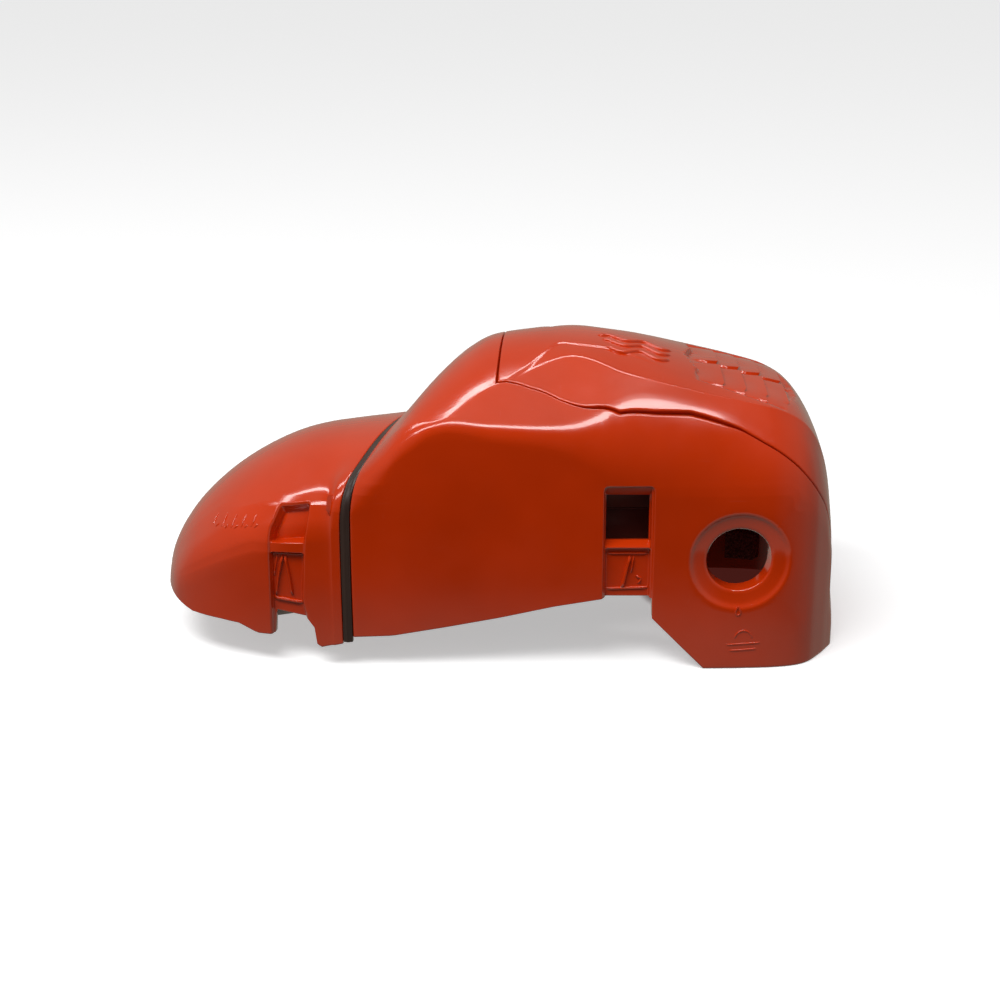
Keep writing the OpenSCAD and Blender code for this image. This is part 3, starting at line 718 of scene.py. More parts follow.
def build_cylinder_hood(material):
    """The front cover with its two clip recesses and stepped lower edge."""
    tip = section_x(NOSE, np.arange(5.0, 7.99, 0.11))
    xs = lines(NOSE_START - SEAM_LINES, [NOSE[-1, 0]], edge_lines(FRONT_LEFT, 1, 0.5),
               edge_lines(FRONT_RIGHT, -1, 0.5),
               edge_lines(POCKET[0], 1, 0.45), edge_lines(POCKET[1], -1, 0.45),
               [-96.5, -96.05, -80.05, -79.35, -77.1],
               np.arange(-80, -49, 2.0), np.arange(-132, -99, 1.8), np.arange(-95.5, -83.5, 1.3), tip)[::-1]
    zs = lines([0], edge_lines(FRONT_TOP, -1, 0.5), edge_lines(POCKET[3], -1, 0.45),
               edge_lines(POCKET[2], 1, 0.45), edge_lines(LOWER_FACE[2], -1, 0.45),
               LOW_LINES, [7, 10, 13.5, 17, 21, 25, 29, 33, 37, 41, 45, 49, 60, 63.5, 67, 75.2])
    halves = [nose_half(xs, zs, side) for side in (-1, 1)]
    parts = [shell_parts(near_far(halves), near_far(halves, 1), zip_end=True)]
    return closed_object("cylinder_hood_shell", parts + nose_parts(), material, True)


# ---------------------------------------------------------------- the seam
# The seal's section: share of the way across the seam, and height above the skin
SEAL_SECTION = [(0, -1.2), (0.02, -0.5), (0.05, 0.0), (0.1, 0.16), (0.17, 0.22), (0.25, 0.28), (0.33, 0.44),
                (0.41, 0.58), (0.5, 0.63), (0.59, 0.58), (0.67, 0.44), (0.75, 0.28), (0.83, 0.22), (0.9,
                                                                                                    0.16),
                (0.95, 0.0), (0.98, -0.5), (1, -1.2)]


def build_seam_seal(material):
    """The rubber seal: a bead with a lip on either side, lofted along the seam."""
    rows = np.array([rows_at(NOSE, station(NOSE, np.array([-46.3])))[0], HOOD[0],
                     rows_at(HOOD, station(HOOD, np.array([-41.9])))[0]])
    across, proud = np.array(SEAL_SECTION).T
    count = 150
    grids = []
    for side in (-1, 1):
        t = np.repeat(across[:, None] * 2, count, 1)
        z0 = profile_for_height(rows, t[:, :1], np.full((len(across), 1), 12.4))
        s = z0 + (4 - z0) * np.linspace(0, 1, count)[None]
        p = skin(rows, t, s, side, NOSE_CREASE)
        n = outward(HOOD, np.full_like(t, 0.15), s, side, NOSE_CREASE)
        grids.append((p + n * proud[:, None, None], p - n * WALL))
    return closed_object("seam_seal_strip", [shell_parts(near_far(grids), near_far(grids, 1))], material)


# ---------------------------------------------------------------- the top panel
# Lines on the crown as position along X and half distance: the chevron's crease, the vent field's side
CHEVRON = [(2.8, 38), (13.6, 29.3), (25.4, 13.6), (27.6, 12.8), (35.3, 15.2), (46.1, 15.9), (62, 21), (80,
                                                                                                       30)]
FIELD_SIDE = [(82, 24), (86, 28.6), (96, 30.6), (105, 32.6), (122, 35.6), (131, 35)]
# Where each louvre plate ends and the next begins, half the bar between the two rows, and the vents' sides
PLATES = [86.6, 96.0, 105.4, 114.8, 124.2]
PLATE_TOP = 1.8
VENT_SIDES = (3.5, 17)
# Studs of the panel: X, Y, lower end, upper end, and the height of the push nut on it
STUDS = [(22, 14, 123.0, 131.5, 124.7), (22, -14, 123.0, 131.5, 124.7),
         (76, 22, 113.2, 120.6, 115.2), (76, -22, 113.2, 120.6, 115.2)]
PANEL_RIM = ([0, 0.1, 0.22, 0.42, 0.8], [0.55, 0.27, 0.1, 0.02, 0])


def plate_rise(x):
    """Share of the way along its louvre plate, 0 at its low end and 1 at its lip."""
    start = np.array(PLATES)
    k = np.clip(np.searchsorted(start, x, side="right") - 1, 0, len(start) - 2)
    return np.clip((x - start[k]) / (start[k + 1] - start[k]), 0, 1)


def panel_relief(x, y):
    """Depth below the plain crown: the chevron step, the vent field and the louvre plates in it."""
    a = np.abs(y)
    chevron = 0.5 * smooth(-0.7, 0.7, a - table_at(x, CHEVRON)) * (1 - smooth(44, 78, x)) * smooth(3.5, 8, x)
    left = 82.0 + 3.8 * np.clip(a / 15, 0, 1) - 1.2 * smooth(15, 22, a)
    right = 130.5 - 0.286 * np.clip(a - 7, 0, 40)
    reach = table_at(x, FIELD_SIDE)
    inside = smooth(0, 0.9, reach - a) * smooth(0, 0.8, x - left) * smooth(0, 1.6, right - x)
    plates = smooth(0, 0.5, a - PLATE_TOP) * smooth(0.2, 1.4, reach - 1.2 - a)
    on = (x >= PLATES[0]) & (x < PLATES[-1])
    rise = np.where(on, 0.15 + 1.75 * plate_rise(x), 0.5 * (x >= PLATES[-1]))
    deep = 0.36 + 0.64 * (1 - smooth(10, 29, a))
    return chevron + inside * deep * (2.2 - plates * rise)


def build_top_panel(material):
    """The top panel: sunk edge, chevron facet, raised waves, and louvre plates with vents below them."""
    rim_at, rim_depth = PANEL_RIM
    step_lines = (-0.02, 0.12)
    x0 = section_x(HOOD, [PANEL_ENDS[0]])[0] + 0.55
    last = section_x(HOOD, [PANEL_ENDS[1] - 0.03])[0]
    xs = lines([x0 + v for v in rim_at], [last - v for v in (0, 0.12, 0.25, 0.45)],
               [p + v for p in PLATES[1:] for v in (*step_lines, 0.5, -0.6)],
               np.arange(x0 + 1.6, 128, 1.0), section_x(HOOD, np.arange(9.6, 11.9, 0.08)))
    xs = xs[(xs >= x0 - 1e-6) & (xs <= last + 1e-6)]
    t1 = station(HOOD, xs)
    e0 = panel_side(t1)
    per_s = per_profile(t1, e0)
    gap = 0.6 + 1.3 * smooth(4.9, 5.6, t1) * (1 - smooth(7.2, 8.2, t1))
    e = e0 + gap / per_s
    fold = 0.95 * np.array([smooth(p - 2.2, p - 0.02, xs) * (xs < p + 0.05) for p in PLATES[1:]]).max(0)
    # profile numbers: the edge, the band up to the ridge, the ridge and the crown
    band_end, ridge_end = 2.88, 3.1
    edge = np.array([0, 0.12, 0.3, 0.6, 1.1])[None] / per_s[:, None]
    start = e + edge[:, -1]
    band = start[:, None] + np.maximum(band_end - start, 0.001)[:, None] * np.linspace(0, 1, 22)[1:]
    ridge = (np.array([2.92, 2.95, 2.975, 3.0, 3.025, 3.05, 3.08]) - band_end) / 0.22
    ridge = band[:, -1:] + (ridge_end - band[:, -1:]) * ridge
    crown = ridge_end + 0.9 * np.linspace(0, 1, 56)[1:]
    s = np.concatenate([e[:, None] + edge, band, ridge, np.repeat(crown[None], len(xs), 0)], 1)
    t = np.repeat(t1[:, None], s.shape[1], 1)
    halves = []
    for side in (-1, 1):
        p, n = skin(HOOD, t, s, side), outward(HOOD, t, s, side)
        a = np.abs(p[..., 1])
        depth = panel_relief(p[..., 0], p[..., 1])
        inside = np.maximum(2.0, depth + 0.9)
        depth[:, :5] += np.array([0.6, 0.3, 0.12, 0.03, 0])
        depth += np.interp(np.minimum(xs - x0, last - xs), rim_at, rim_depth)[:, None]
        shift = fold[:, None] * smooth(PLATE_TOP, PLATE_TOP + 0.8, a) * (1 - smooth(25.5, 27, a))
        outer, inner = p - n * depth[..., None], p - n * inside[..., None]
        outer[..., 0] += shift
        inner[..., 0] += shift
        halves.append((outer, inner, p))
    plain = near_far(halves, 2)
    x, y, _ = np.moveaxis((plain[:-1, :-1] + plain[1:, 1:]) / 2, -1, 0)
    in_step = np.any([(x > p + step_lines[0]) & (x < p + step_lines[1]) for p in PLATES[1:]], 0)
    gone = in_step & (np.abs(y) > VENT_SIDES[0]) & (np.abs(y) < VENT_SIDES[1])
    parts = [shell_parts(near_far(halves), near_far(halves, 1), gone)]
    for x, y, foot, head, _ in STUDS:
        stud = [(foot, 0.02), (foot, 1.6), (foot + 0.4, 2), (head, 2), (head, 0.02)]
        parts.append(lathe(stud, (x, y, 0), turns=24))
    for k, y in enumerate((-2.5, -9.5, -16.5)):
        x = np.arange(44.0 + 1.5 * k, 75.5 - k, 0.6)
        wave = np.stack([x, y + 2.0 * np.sin((x - 44) * 2 * math.pi / 15.5 + 0.5 * k)], -1)
        p, n = on_crown(wave)
        parts.append(bead(p - n * 0.1, n, 2.3, 0.95))
    return closed_object("top_panel_shell", parts, material, True)


# ---------------------------------------------------------------- pieces made by node trees
def tree_with(name, inputs):
    """A geometry node tree with the named inputs, its group nodes and a geometry output."""
    tree = bpy.data.node_groups.new(name, "GeometryNodeTree")
    tree.interface.new_socket("Geometry", in_out="INPUT", socket_type="NodeSocketGeometry")
    for label, kind, value in inputs:
        socket = tree.interface.new_socket(label, in_out="INPUT", socket_type=kind)
        if value is not None:
            socket.default_value = value
    tree.interface.new_socket("Geometry", in_out="OUTPUT", socket_type="NodeSocketGeometry")
    return tree, tree.nodes.new("NodeGroupInput"), tree.nodes.new("NodeGroupOutput")


def add_node(tree, kind, values=None, **settings):
    """A node with its settings and the values of some of its sockets."""
    node = tree.nodes.new(kind)
    for key, value in settings.items():
        setattr(node, key, value)
    for key, value in (values or {}).items():
        node.inputs[key].default_value = value
    return node


def combine(tree, operation, a, b):
    """A math node on two values, each a number or a socket."""
    node = add_node(tree, "ShaderNodeMath", operation=operation)
    for k, v in enumerate((a, b)):
        if isinstance(v, (int, float)):
            node.inputs[k].default_value = v
        else:
            tree.links.new(v, node.inputs[k])
    return node.outputs[0]


def finish_tree(tree, start, source, out):
    """Realizes the instances, sets the material and closes the tree."""
    real = add_node(tree, "GeometryNodeRealizeInstances")
    paint = add_node(tree, "GeometryNodeSetMaterial")
    tree.links.new(source, real.inputs[0])
    tree.links.new(real.outputs[0], paint.inputs["Geometry"])
    tree.links.new(start.outputs["Material"], paint.inputs["Material"])
    tree.links.new(paint.outputs[0], out.inputs[0])


def repeat_tree():
    """Sets a copy of one fastener on every point, facing along its own axis, with a turn of its own."""
    tree, start, out = tree_with("fasteners_on_points", [
        ("Fastener", "NodeSocketObject", None), ("Material", "NodeSocketMaterial", None),
        ("Turn Seed", "NodeSocketInt", 4), ("Most Turn", "NodeSocketFloat", 1.0)])
    info = add_node(tree, "GeometryNodeObjectInfo")
    facing = add_node(tree, "GeometryNodeInputNamedAttribute", {"Name": "facing"}, data_type="FLOAT_VECTOR")
    aim = add_node(tree, "FunctionNodeAlignRotationToVector", axis="Z")
    copies = add_node(tree, "GeometryNodeInstanceOnPoints")
    chance = add_node(tree, "FunctionNodeRandomValue", data_type="FLOAT")
    spin = add_node(tree, "ShaderNodeCombineXYZ")
    turn = add_node(tree, "GeometryNodeRotateInstances")
    for source, output, target, socket in (
            (start, "Fastener", info, "Object"), (facing, 0, aim, "Vector"), (start, "Geometry", copies,
                                                                              "Points"),
            (info, "Geometry", copies, "Instance"), (aim, 0, copies, "Rotation"), (start, "Most Turn",
                                                                                   chance, 3),
            (start, "Turn Seed", chance, "Seed"), (chance, 1, spin, "Z"), (copies, 0, turn, "Instances"),
            (spin, 0, turn, "Rotation")):
        tree.links.new(source.outputs[output], target.inputs[socket])
    finish_tree(tree, start, turn.outputs[0], out)
    return tree


def pleat_tree():
    """A sheet folded into pleats with rounded crests, given its thickness and set in place."""
    tree, start, out = tree_with("pleated_sheet", [
        ("Length", "NodeSocketFloat", 0.062), ("Width", "NodeSocketFloat", 0.071), ("Pleats",
                                                                                    "NodeSocketInt", 10),
        ("Rise", "NodeSocketFloat", 0.0125), ("Thickness", "NodeSocketFloat", 0.0006),
        ("Centre", "NodeSocketVector", None), ("Material", "NodeSocketMaterial", None)])
    link = tree.links.new
    grid = add_node(tree, "GeometryNodeMeshGrid", {"Vertices Y": 9})
    link(combine(tree, "MULTIPLY_ADD", start.outputs["Pleats"], 14), grid.inputs["Vertices X"])
    where = add_node(tree, "GeometryNodeInputPosition")
    split = add_node(tree, "ShaderNodeSeparateXYZ")
    link(where.outputs[0], split.inputs[0])
    angle = combine(tree, "DIVIDE", split.outputs["X"], start.outputs["Length"])
    angle = combine(tree, "MULTIPLY", combine(tree, "MULTIPLY", angle, 2 * math.pi), start.outputs["Pleats"])
    wave = combine(tree, "MULTIPLY", combine(tree, "COSINE", angle, 0), 0.985)
    fold = combine(tree, "MULTIPLY", combine(tree, "ARCSINE", wave, 0), 1 / math.pi)
    lift = add_node(tree, "ShaderNodeCombineXYZ")
    link(combine(tree, "MULTIPLY", fold, start.outputs["Rise"]), lift.inputs["Z"])
    bend = add_node(tree, "GeometryNodeSetPosition")
    thick = add_node(tree, "GeometryNodeExtrudeMesh", {"Individual": False}, mode="FACES")
    back = add_node(tree, "GeometryNodeFlipFaces")
    both = add_node(tree, "GeometryNodeJoinGeometry")
    weld = add_node(tree, "GeometryNodeMergeByDistance", {"Distance": 0.000002})
    move = add_node(tree, "GeometryNodeTransform")
    for source, output, target, socket in (
            (start, "Length", grid, "Size X"), (start, "Width", grid, "Size Y"), (grid, "Mesh", bend,
                                                                                  "Geometry"),
            (lift, 0, bend, "Offset"), (bend, 0, thick, "Mesh"), (start, "Thickness", thick, "Offset Scale"),
            (bend, 0, back, "Mesh"), (back, 0, both, 0), (thick, "Mesh", both, 0), (both, 0, weld, 0),
            (weld, 0, move, "Geometry"), (start, "Centre", move, "Translation")):
        link(source.outputs[output], target.inputs[socket])
    finish_tree(tree, start, move.outputs[0], out)
    return tree


def grown(name, base, tree, values):
    """A plain mesh object from a tree run on a base object, with the tree's inputs set by their sockets."""
    modifier = base.modifiers.new("nodes", "NODES")
    modifier.node_group = tree
    sockets = {item.name: item.identifier for item in tree.interface.items_tree if item.in_out == "INPUT"}
    for key, value in values.items():
        modifier[sockets[key]] = value
    mesh = evaluated_mesh(base)
    mesh.name = name
    bpy.data.objects.remove(base)
    if not mesh.polygons:
        raise RuntimeError(name + ": its node tree made no faces")
    shade(mesh, 40)
    return add_object(name, mesh)


def fasteners(name, template_parts, places, material, seed):
    """Copies of one fastener at places given as (point, direction)."""
    template = closed_object("fastener", template_parts, material)
    mesh = bpy.data.meshes.new("places")
    mesh.from_pydata([tuple(v * MM for v in p) for p, _ in places], [], [])
    facing = mesh.attributes.new("facing", "FLOAT_VECTOR", "POINT")
    facing.data.foreach_set("vector", [v for _, d in places for v in d])
    values = {"Fastener": template, "Material": material, "Turn Seed": seed, "Most Turn": 1.0}
    obj = grown(name, add_object("places", mesh), repeat_tree(), values)
    bpy.data.objects.remove(template)
    return obj


def screw_parts(head_z, tip_z):
    """A cap screw along Z: head with a six-sided socket, shank and thread ridges."""
    profile = [(head_z - 2.3, 0.02), (head_z - 2.3, 1.9), (head_z - 1.9, 1.9), (head_z, 2.0), (head_z, 2.9),
               (head_z - 0.4, 3.35), (head_z - 2.35, 3.4), (head_z - 2.35, 1.5)]
    z = head_z - 3.2
    while z > tip_z + 0.8:
        profile += [(z, 1.52), (z - 0.25, 1.25), (z - 0.5, 1.25)]
        z -= 0.75
    profile += [(tip_z + 0.4, 1.3), (tip_z, 0.7), (tip_z, 0.02)]
    flats = [(head_z - 2.32, 0.02), (head_z - 2.32, 1.55), (head_z - 2.2, 1.62), (head_z - 2.2, 0.02)]
    return [lathe(profile), lathe(flats, turns=6)]


def rivet_parts(head):
    """A blind rivet along Z from its tail at 0 to the top of its domed head."""
    dome = [(1.35, 1.48), (1.3, 3.1), (1.1, 3.35), (0.7, 3.1), (0.25, 2.3), (0.05, 1.3), (0.05, 0.9), (0.45,
                                                                                                       0.85),
            (0.45, 0.02)]
    return [lathe([(0, 0.02), (0, 1.1), (0.3, 1.48)] + [(head - down, radius) for down, radius in dome])]


def push_nut_parts():
    """A sprung push nut: a dished rim and six teeth that grip the stud."""
    parts = [lathe([(0, 2.9), (0, 3.8), (0.15, 4.0), (0.3, 3.95), (0.55, 3.0), (0.35, 2.85)])]
    for k in range(6):
        a0, a1 = (k - 0.36) * math.pi / 3, (k + 0.36) * math.pi / 3
        tooth = ((a0, 3.2, 0.1), (a1, 3.2, 0.1),
                 (a1 * 0.55 + a0 * 0.45, 2.06, 0.55), (a0 * 0.55 + a1 * 0.45, 2.06, 0.55))
        verts = [(r * math.cos(a), r * math.sin(a), z + rise) for z in (0.0, 0.28) for a, r, rise in tooth]
        parts.append((verts, tube_faces(2, 4)))
    return parts


def from_cad(node, name, material, rounding):
    """A welded, edge-rounded copy of a CAD node, whose flat faces are whole."""
    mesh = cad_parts[node].data.copy()
    mesh.name = name
    bm = bmesh.new()
    bm.from_mesh(mesh)
    bmesh.ops.remove_doubles(bm, verts=bm.verts, dist=0.000004)
    bmesh.ops.dissolve_limit(bm, angle_limit=math.radians(0.6), verts=bm.verts, edges=bm.edges)
    bm.to_mesh(mesh)
    bm.free()
    mesh.materials.clear()
    mesh.materials.append(material)
    obj = add_object(name, mesh)
    if rounding:
        bevel = obj.modifiers.new("rounding", "BEVEL")
        bevel.width = rounding * MM
        bevel.segments = 2
        bevel.limit_method = "ANGLE"
        bevel.angle_limit = math.radians(35)
        bevel.use_clamp_overlap = True
        obj.data = evaluated_mesh(obj)
    shade(obj.data, 28)
    return obj


def foam_pad(name, boxes, material, seed):
    """Foam blocks with soft edges and a slightly uneven cut."""
    verts, faces = [], []
    rng = np.random.default_rng(seed)
    for lo, hi in boxes:
        lo, hi = np.array(lo, float), np.array(hi, float)
        counts = np.maximum(((hi - lo) / 1.6).astype(int), 3)
        bm = bmesh.new()
        bmesh.ops.create_cube(bm, size=1.0)
        bmesh.ops.subdivide_edges(bm, edges=bm.edges, cuts=int(counts.max()), use_grid_fill=True)
        half = (hi - lo) / 2
        p = np.array([v.co for v in bm.verts]) * 2 * half
        soft = np.minimum(1.1, half.min() * 0.45)
        core = np.clip(p, -(half - soft), half - soft)
        out = p - core
        reach = np.linalg.norm(out, axis=1, keepdims=True)
        p = core + out / np.maximum(reach, TINY) * np.minimum(reach, soft)
        p *= 1 - 0.012 * rng.random((len(p), 1))
        base = len(verts)
        verts += (p + (lo + hi) / 2).tolist()
        faces += [[base + v.index for v in f.verts] for f in bm.faces]
        bm.free()
    return closed_object(name, [(verts, faces)], material)


# ---------------------------------------------------------------- finishes
def shade_group(name, inputs, outputs):
    """An empty shader node group with float inputs after Vector, and the outputs asked for."""
    tree = bpy.data.node_groups.new(name, "ShaderNodeTree")
    tree.interface.new_socket("Vector", in_out="INPUT", socket_type="NodeSocketVector")
    for label, value in inputs:
        tree.interface.new_socket(label, in_out="INPUT", socket_type="NodeSocketFloat").default_value = value
    for label in outputs:
        tree.interface.new_socket(label, in_out="OUTPUT", socket_type="NodeSocketFloat")
    return tree, tree.nodes.new("NodeGroupInput"), tree.nodes.new("NodeGroupOutput")


def noise(tree, vector, scale, detail=3.0, rough=0.55, stretch=None):
    """A noise pattern's value; scale is a number or a socket, stretch a vector that draws it out."""
    if stretch:
        mapping = add_node(tree, "ShaderNodeMapping", {"Scale": stretch})
        tree.links.new(vector, mapping.inputs["Vector"])
        vector = mapping.outputs[0]
    node = add_node(tree, "ShaderNodeTexNoise", {"Detail": detail, "Roughness": rough})
    tree.links.new(vector, node.inputs["Vector"])
    if isinstance(scale, (int, float)):
        node.inputs["Scale"].default_value = scale
    else:
        tree.links.new(scale, node.inputs["Scale"])
    return node.outputs["Fac"]


def ramp(tree, value, a, b, c=0.0, d=1.0):
    """A value taken from the range a to b into c to d, and kept inside it."""
    node = add_node(tree, "ShaderNodeMapRange", {"From Min": a, "From Max": b, "To Min": c, "To Max": d})
    tree.links.new(value, node.inputs["Value"])
    return node.outputs["Result"]


def give(tree, out, values):
    """Links values to a group's named outputs."""
    for label, value in values.items():
        tree.links.new(value, out.inputs[label])
    return tree


def moulded_group():
    """Marks of moulding and handling: slow colour drift, specks, smudges, hairline scratches and grain."""
    tree, start, out = shade_group("moulded_surface", [("Drift Scale", 16), ("Grain Scale", 900), ("Grain",
                                                                                                   0.5)],
                                   ["Tone", "Speck", "Smudge", "Scratch", "Height"])
    vector = start.outputs["Vector"]
    one, two = (ramp(tree, noise(tree, vector, scale, 2, 0.5, stretch), 0.72, 0.78)
                for scale, stretch in ((30, (1, 22, 14)), (24, (26, 3, 5))))
    scratch = combine(tree, "MAXIMUM", one, two)
    grain = combine(tree, "MULTIPLY", noise(tree, vector, start.outputs["Grain Scale"], 2),
                    start.outputs["Grain"])
    return give(tree, out, {
        "Tone": ramp(tree, noise(tree, vector, start.outputs["Drift Scale"], 3), 0.3, 0.7),
        "Speck": ramp(tree, noise(tree, vector, 420, 2), 0.66, 0.74),
        "Smudge": ramp(tree, noise(tree, vector, 55, 6, 0.65), 0.35, 0.75),
        "Scratch": scratch,
        "Height": combine(tree, "SUBTRACT", grain, combine(tree, "MULTIPLY", scratch, 0.06))})


def metal_group():
    """Rolled or turned metal: fine streaks, stains and dents."""
    tree, start, out = shade_group("worked_metal", [("Streak Scale", 90), ("Stain Scale", 60)],
                                   ["Streak", "Stain", "Height"])
    vector = start.outputs["Vector"]
    streak = noise(tree, vector, start.outputs["Streak Scale"], 4, 0.6, (1, 24, 24))
    stain = noise(tree, vector, start.outputs["Stain Scale"], 5, 0.6)
    dents = combine(tree, "MULTIPLY", noise(tree, vector, 140, 2), 0.8)
    return give(tree, out, {"Streak": streak, "Stain": ramp(tree, stain, 0.42, 0.7),
                            "Height": combine(tree, "ADD", streak, dents)})


def cell_group():
    """Open foam: pores with thin walls."""
    tree, start, out = shade_group("open_foam", [("Pore Scale", 900)], ["Pore", "Height"])
    node = add_node(tree, "ShaderNodeTexVoronoi", feature="F1")
    tree.links.new(start.outputs["Vector"], node.inputs["Vector"])
    tree.links.new(start.outputs["Pore Scale"], node.inputs["Scale"])
    wall = node.outputs["Distance"]
    return give(tree, out, {"Pore": ramp(tree, wall, 0.1, 0.75, 1, 0), "Height": wall})


def weave_group():
    """A fine square mesh over felt: threads both ways and slow soiling."""
    tree, start, out = shade_group("mesh_over_felt", [("Thread Scale", 520)], ["Thread", "Soil", "Height"])
    waves = []
    for axis in ("X", "Y"):
        node = add_node(tree, "ShaderNodeTexWave", {"Distortion": 0.4, "Detail": 1.0}, wave_type="BANDS",
                        bands_direction=axis)
        tree.links.new(start.outputs["Vector"], node.inputs["Vector"])
        tree.links.new(start.outputs["Thread Scale"], node.inputs["Scale"])
        waves.append(node.outputs["Fac"])
    thread = combine(tree, "MAXIMUM", *waves)
    soil = noise(tree, start.outputs["Vector"], 45, 5, 0.65)
    return give(tree, out, {"Thread": ramp(tree, thread, 0.4, 0.95), "Soil": ramp(tree, soil, 0.4, 0.75),
                            "Height": thread})


GROUPS = {}


class Finish:
    """A material in the making: its shader, and the marks that a shared group draws on it."""

    def __init__(self, name, make_group, rough, marks=None, shader=None):
        if make_group not in GROUPS:
            GROUPS[make_group] = make_group()
        self.material = bpy.data.materials.new(name)
        self.material.use_nodes = True
        self.tree = self.material.node_tree
        self.shader = self.tree.nodes["Principled BSDF"]
        for key, value in {"Roughness": rough, "Coat Roughness": 0.05, **(shader or {})}.items():
            self.shader.inputs[key].default_value = value
        where = add_node(self.tree, "ShaderNodeTexCoord")
        node = add_node(self.tree, "ShaderNodeGroup", marks, node_tree=GROUPS[make_group])
        self.tree.links.new(where.outputs["Object"], node.inputs["Vector"])
        self.marks = node.outputs

    def share(self, mark, part):
        """A part of one mark."""
        return combine(self.tree, "MULTIPLY", self.marks[mark], part)

    def mix(self, factor, a, b):
        """A colour mixed between a and b, each a colour or a socket."""
        node = add_node(self.tree, "ShaderNodeMix", data_type="RGBA")
        self.tree.links.new(factor, node.inputs["Factor"])
        for key, value in ((6, a), (7, b)):
            if isinstance(value, bpy.types.NodeSocket):
                self.tree.links.new(value, node.inputs[key])
            else:
                node.inputs[key].default_value = (*value[:3], 1)
        return node.outputs[2]

    def done(self, colour, gloss, strength, distance=0.0002):
        """Links the colour, the roughness and a relief of that strength and distance in metres."""
        bump = add_node(self.tree, "ShaderNodeBump", {"Strength": strength, "Distance": distance})
        self.tree.links.new(self.marks["Height"], bump.inputs["Height"])
        for key, value in (("Normal", bump.outputs[0]), ("Base Color", colour), ("Roughness", gloss)):
            self.tree.links.new(value, self.shader.inputs[key])
        return self.material


def scaled(colour, by, add=0.0):
    """A colour made lighter or darker."""
    return tuple(min(c * by + add, 1) for c in colour)


def plastic(name, colour, rough, spread, grain=(900, 0.25, 0.12), coat=0.0, lift=1.14):
    """Moulded plastic: its colour drifts, its gloss is smudged and hairlines catch the light."""
    make = Finish(name, moulded_group, rough, {"Grain Scale": grain[0], "Grain": grain[1]},
                  {"Coat Weight": coat})
    pale = scaled(colour, 0.7, 0.12)
    base = make.mix(make.marks["Tone"], scaled(colour, 2 - lift), scaled(colour, lift, 0.001))
    base = make.mix(make.share("Speck", 0.015), base, pale)
    base = make.mix(make.share("Scratch", 0.03), base, pale)
    gloss = ramp(make.tree, make.marks["Smudge"], 0, 1, rough, rough + spread)
    return make.done(base, combine(make.tree, "ADD", gloss, make.share("Scratch", 0.06)), grain[2])


def metal(name, colour, rough, streak=90.0, bump=0.12):
    """Worked metal with streaks, stains and small dents."""
    make = Finish(name, metal_group, rough, {"Streak Scale": streak}, {"Metallic": 1.0})
    base = make.mix(make.marks["Streak"], scaled(colour, 0.66), colour)
    base = make.mix(make.share("Stain", 0.35), base, (0.16, 0.12, 0.08))
    return make.done(base, ramp(make.tree, make.marks["Stain"], 0, 1, rough, rough + 0.25), bump)


def foam(name, colour):
    """Dense open foam."""
    make = Finish(name, cell_group, 0.95, shader={"Specular IOR Level": 0.2})
    base = make.mix(make.marks["Pore"], scaled(colour, 0.35), colour)
    return make.done(base, ramp(make.tree, make.marks["Pore"], 0, 1, 1.0, 0.85), 0.6, 0.0005)


def mesh_cloth(name, colour):
    """Nylon mesh over felt, soiled in places."""
    make = Finish(name, weave_group, 0.8, shader={"Specular IOR Level": 0.3, "Sheen Weight": 0.25})
    base = make.mix(make.marks["Thread"], scaled(colour, 0.55), colour)
    base = make.mix(make.share("Soil", 0.45), base, (0.2, 0.16, 0.1))
    return make.done(base, ramp(make.tree, make.marks["Thread"], 0, 1, 0.95, 0.6), 0.5, 0.0003)


# ---------------------------------------------------------------- settings
def length_setting(name, description, default):
    """A setting that is a length in metres."""
    return bpy.props.FloatProperty(name=name, description=description, default=default, unit="LENGTH")


def colour_setting(name, description, default):
    """A setting that is a colour."""
    return bpy.props.FloatVectorProperty(name=name, description=description, default=default,
                                         subtype="COLOR",
                                         min=0, max=1)


class CoverSizes(bpy.types.PropertyGroup):
    """Sizes that a user may change."""
    pleats: bpy.props.IntProperty(name="Pleats", description="Folds in each filter sheet", default=10, min=4,
                                  max=16)
    pleat_rise: length_setting("Pleat height", "Height of the folds from crest to crest", 0.0118)
    sheet: length_setting("Sheet thickness", "Thickness of the filter sheet", 0.0006)
    rounding: length_setting("Edge rounding", "Radius of the inner parts' edges", 0.0003)
    camera_tilt: bpy.props.FloatProperty(name="Camera tilt",
                                         description="Angle of the camera above the floor",
                                         default=math.radians(20), subtype="ANGLE")
    camera_distance: length_setting("Camera distance", "From the camera to the cover", 0.9)


class CoverColours(bpy.types.PropertyGroup):
    """Colours that a user may change."""
    shell: colour_setting("Covers", "Colour of the moulded covers", (0.56, 0.033, 0.001))
    seal: colour_setting("Seal", "Colour of the rubber seal", (0.03, 0.013, 0.009))
    inner: colour_setting("Inner parts", "Colour of the dark plastic and rubber inside", (0.1, 0.016, 0.01))
    cloth: colour_setting("Filter sheet", "Colour of the filter sheets", (0.52, 0.47, 0.36))
    foam: colour_setting("Pads", "Colour of the foam pads", (0.26, 0.05, 0.04))


def shell_finish(context, name):
    """Glossy moulded plastic in the covers' colour."""
    return plastic(name, context.scene.cover_colours.shell, 0.13, 0.1, (520, 0.22, 0.1), coat=0.35, lift=1.1)


def dark_finish(context, name, rough=0.42, grain=(1500, 0.8, 0.35)):
    """Grained dark plastic or rubber."""
    return plastic(name, context.scene.cover_colours.inner, rough, 0.16, grain, lift=1.25)


def settle(obj, body, slot, *nodes):
    """Hides the CAD nodes that a finished piece stands for and attaches the piece to the body it rides on;
    slot is not used.
    """
    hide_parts(*nodes)
    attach(obj, body)


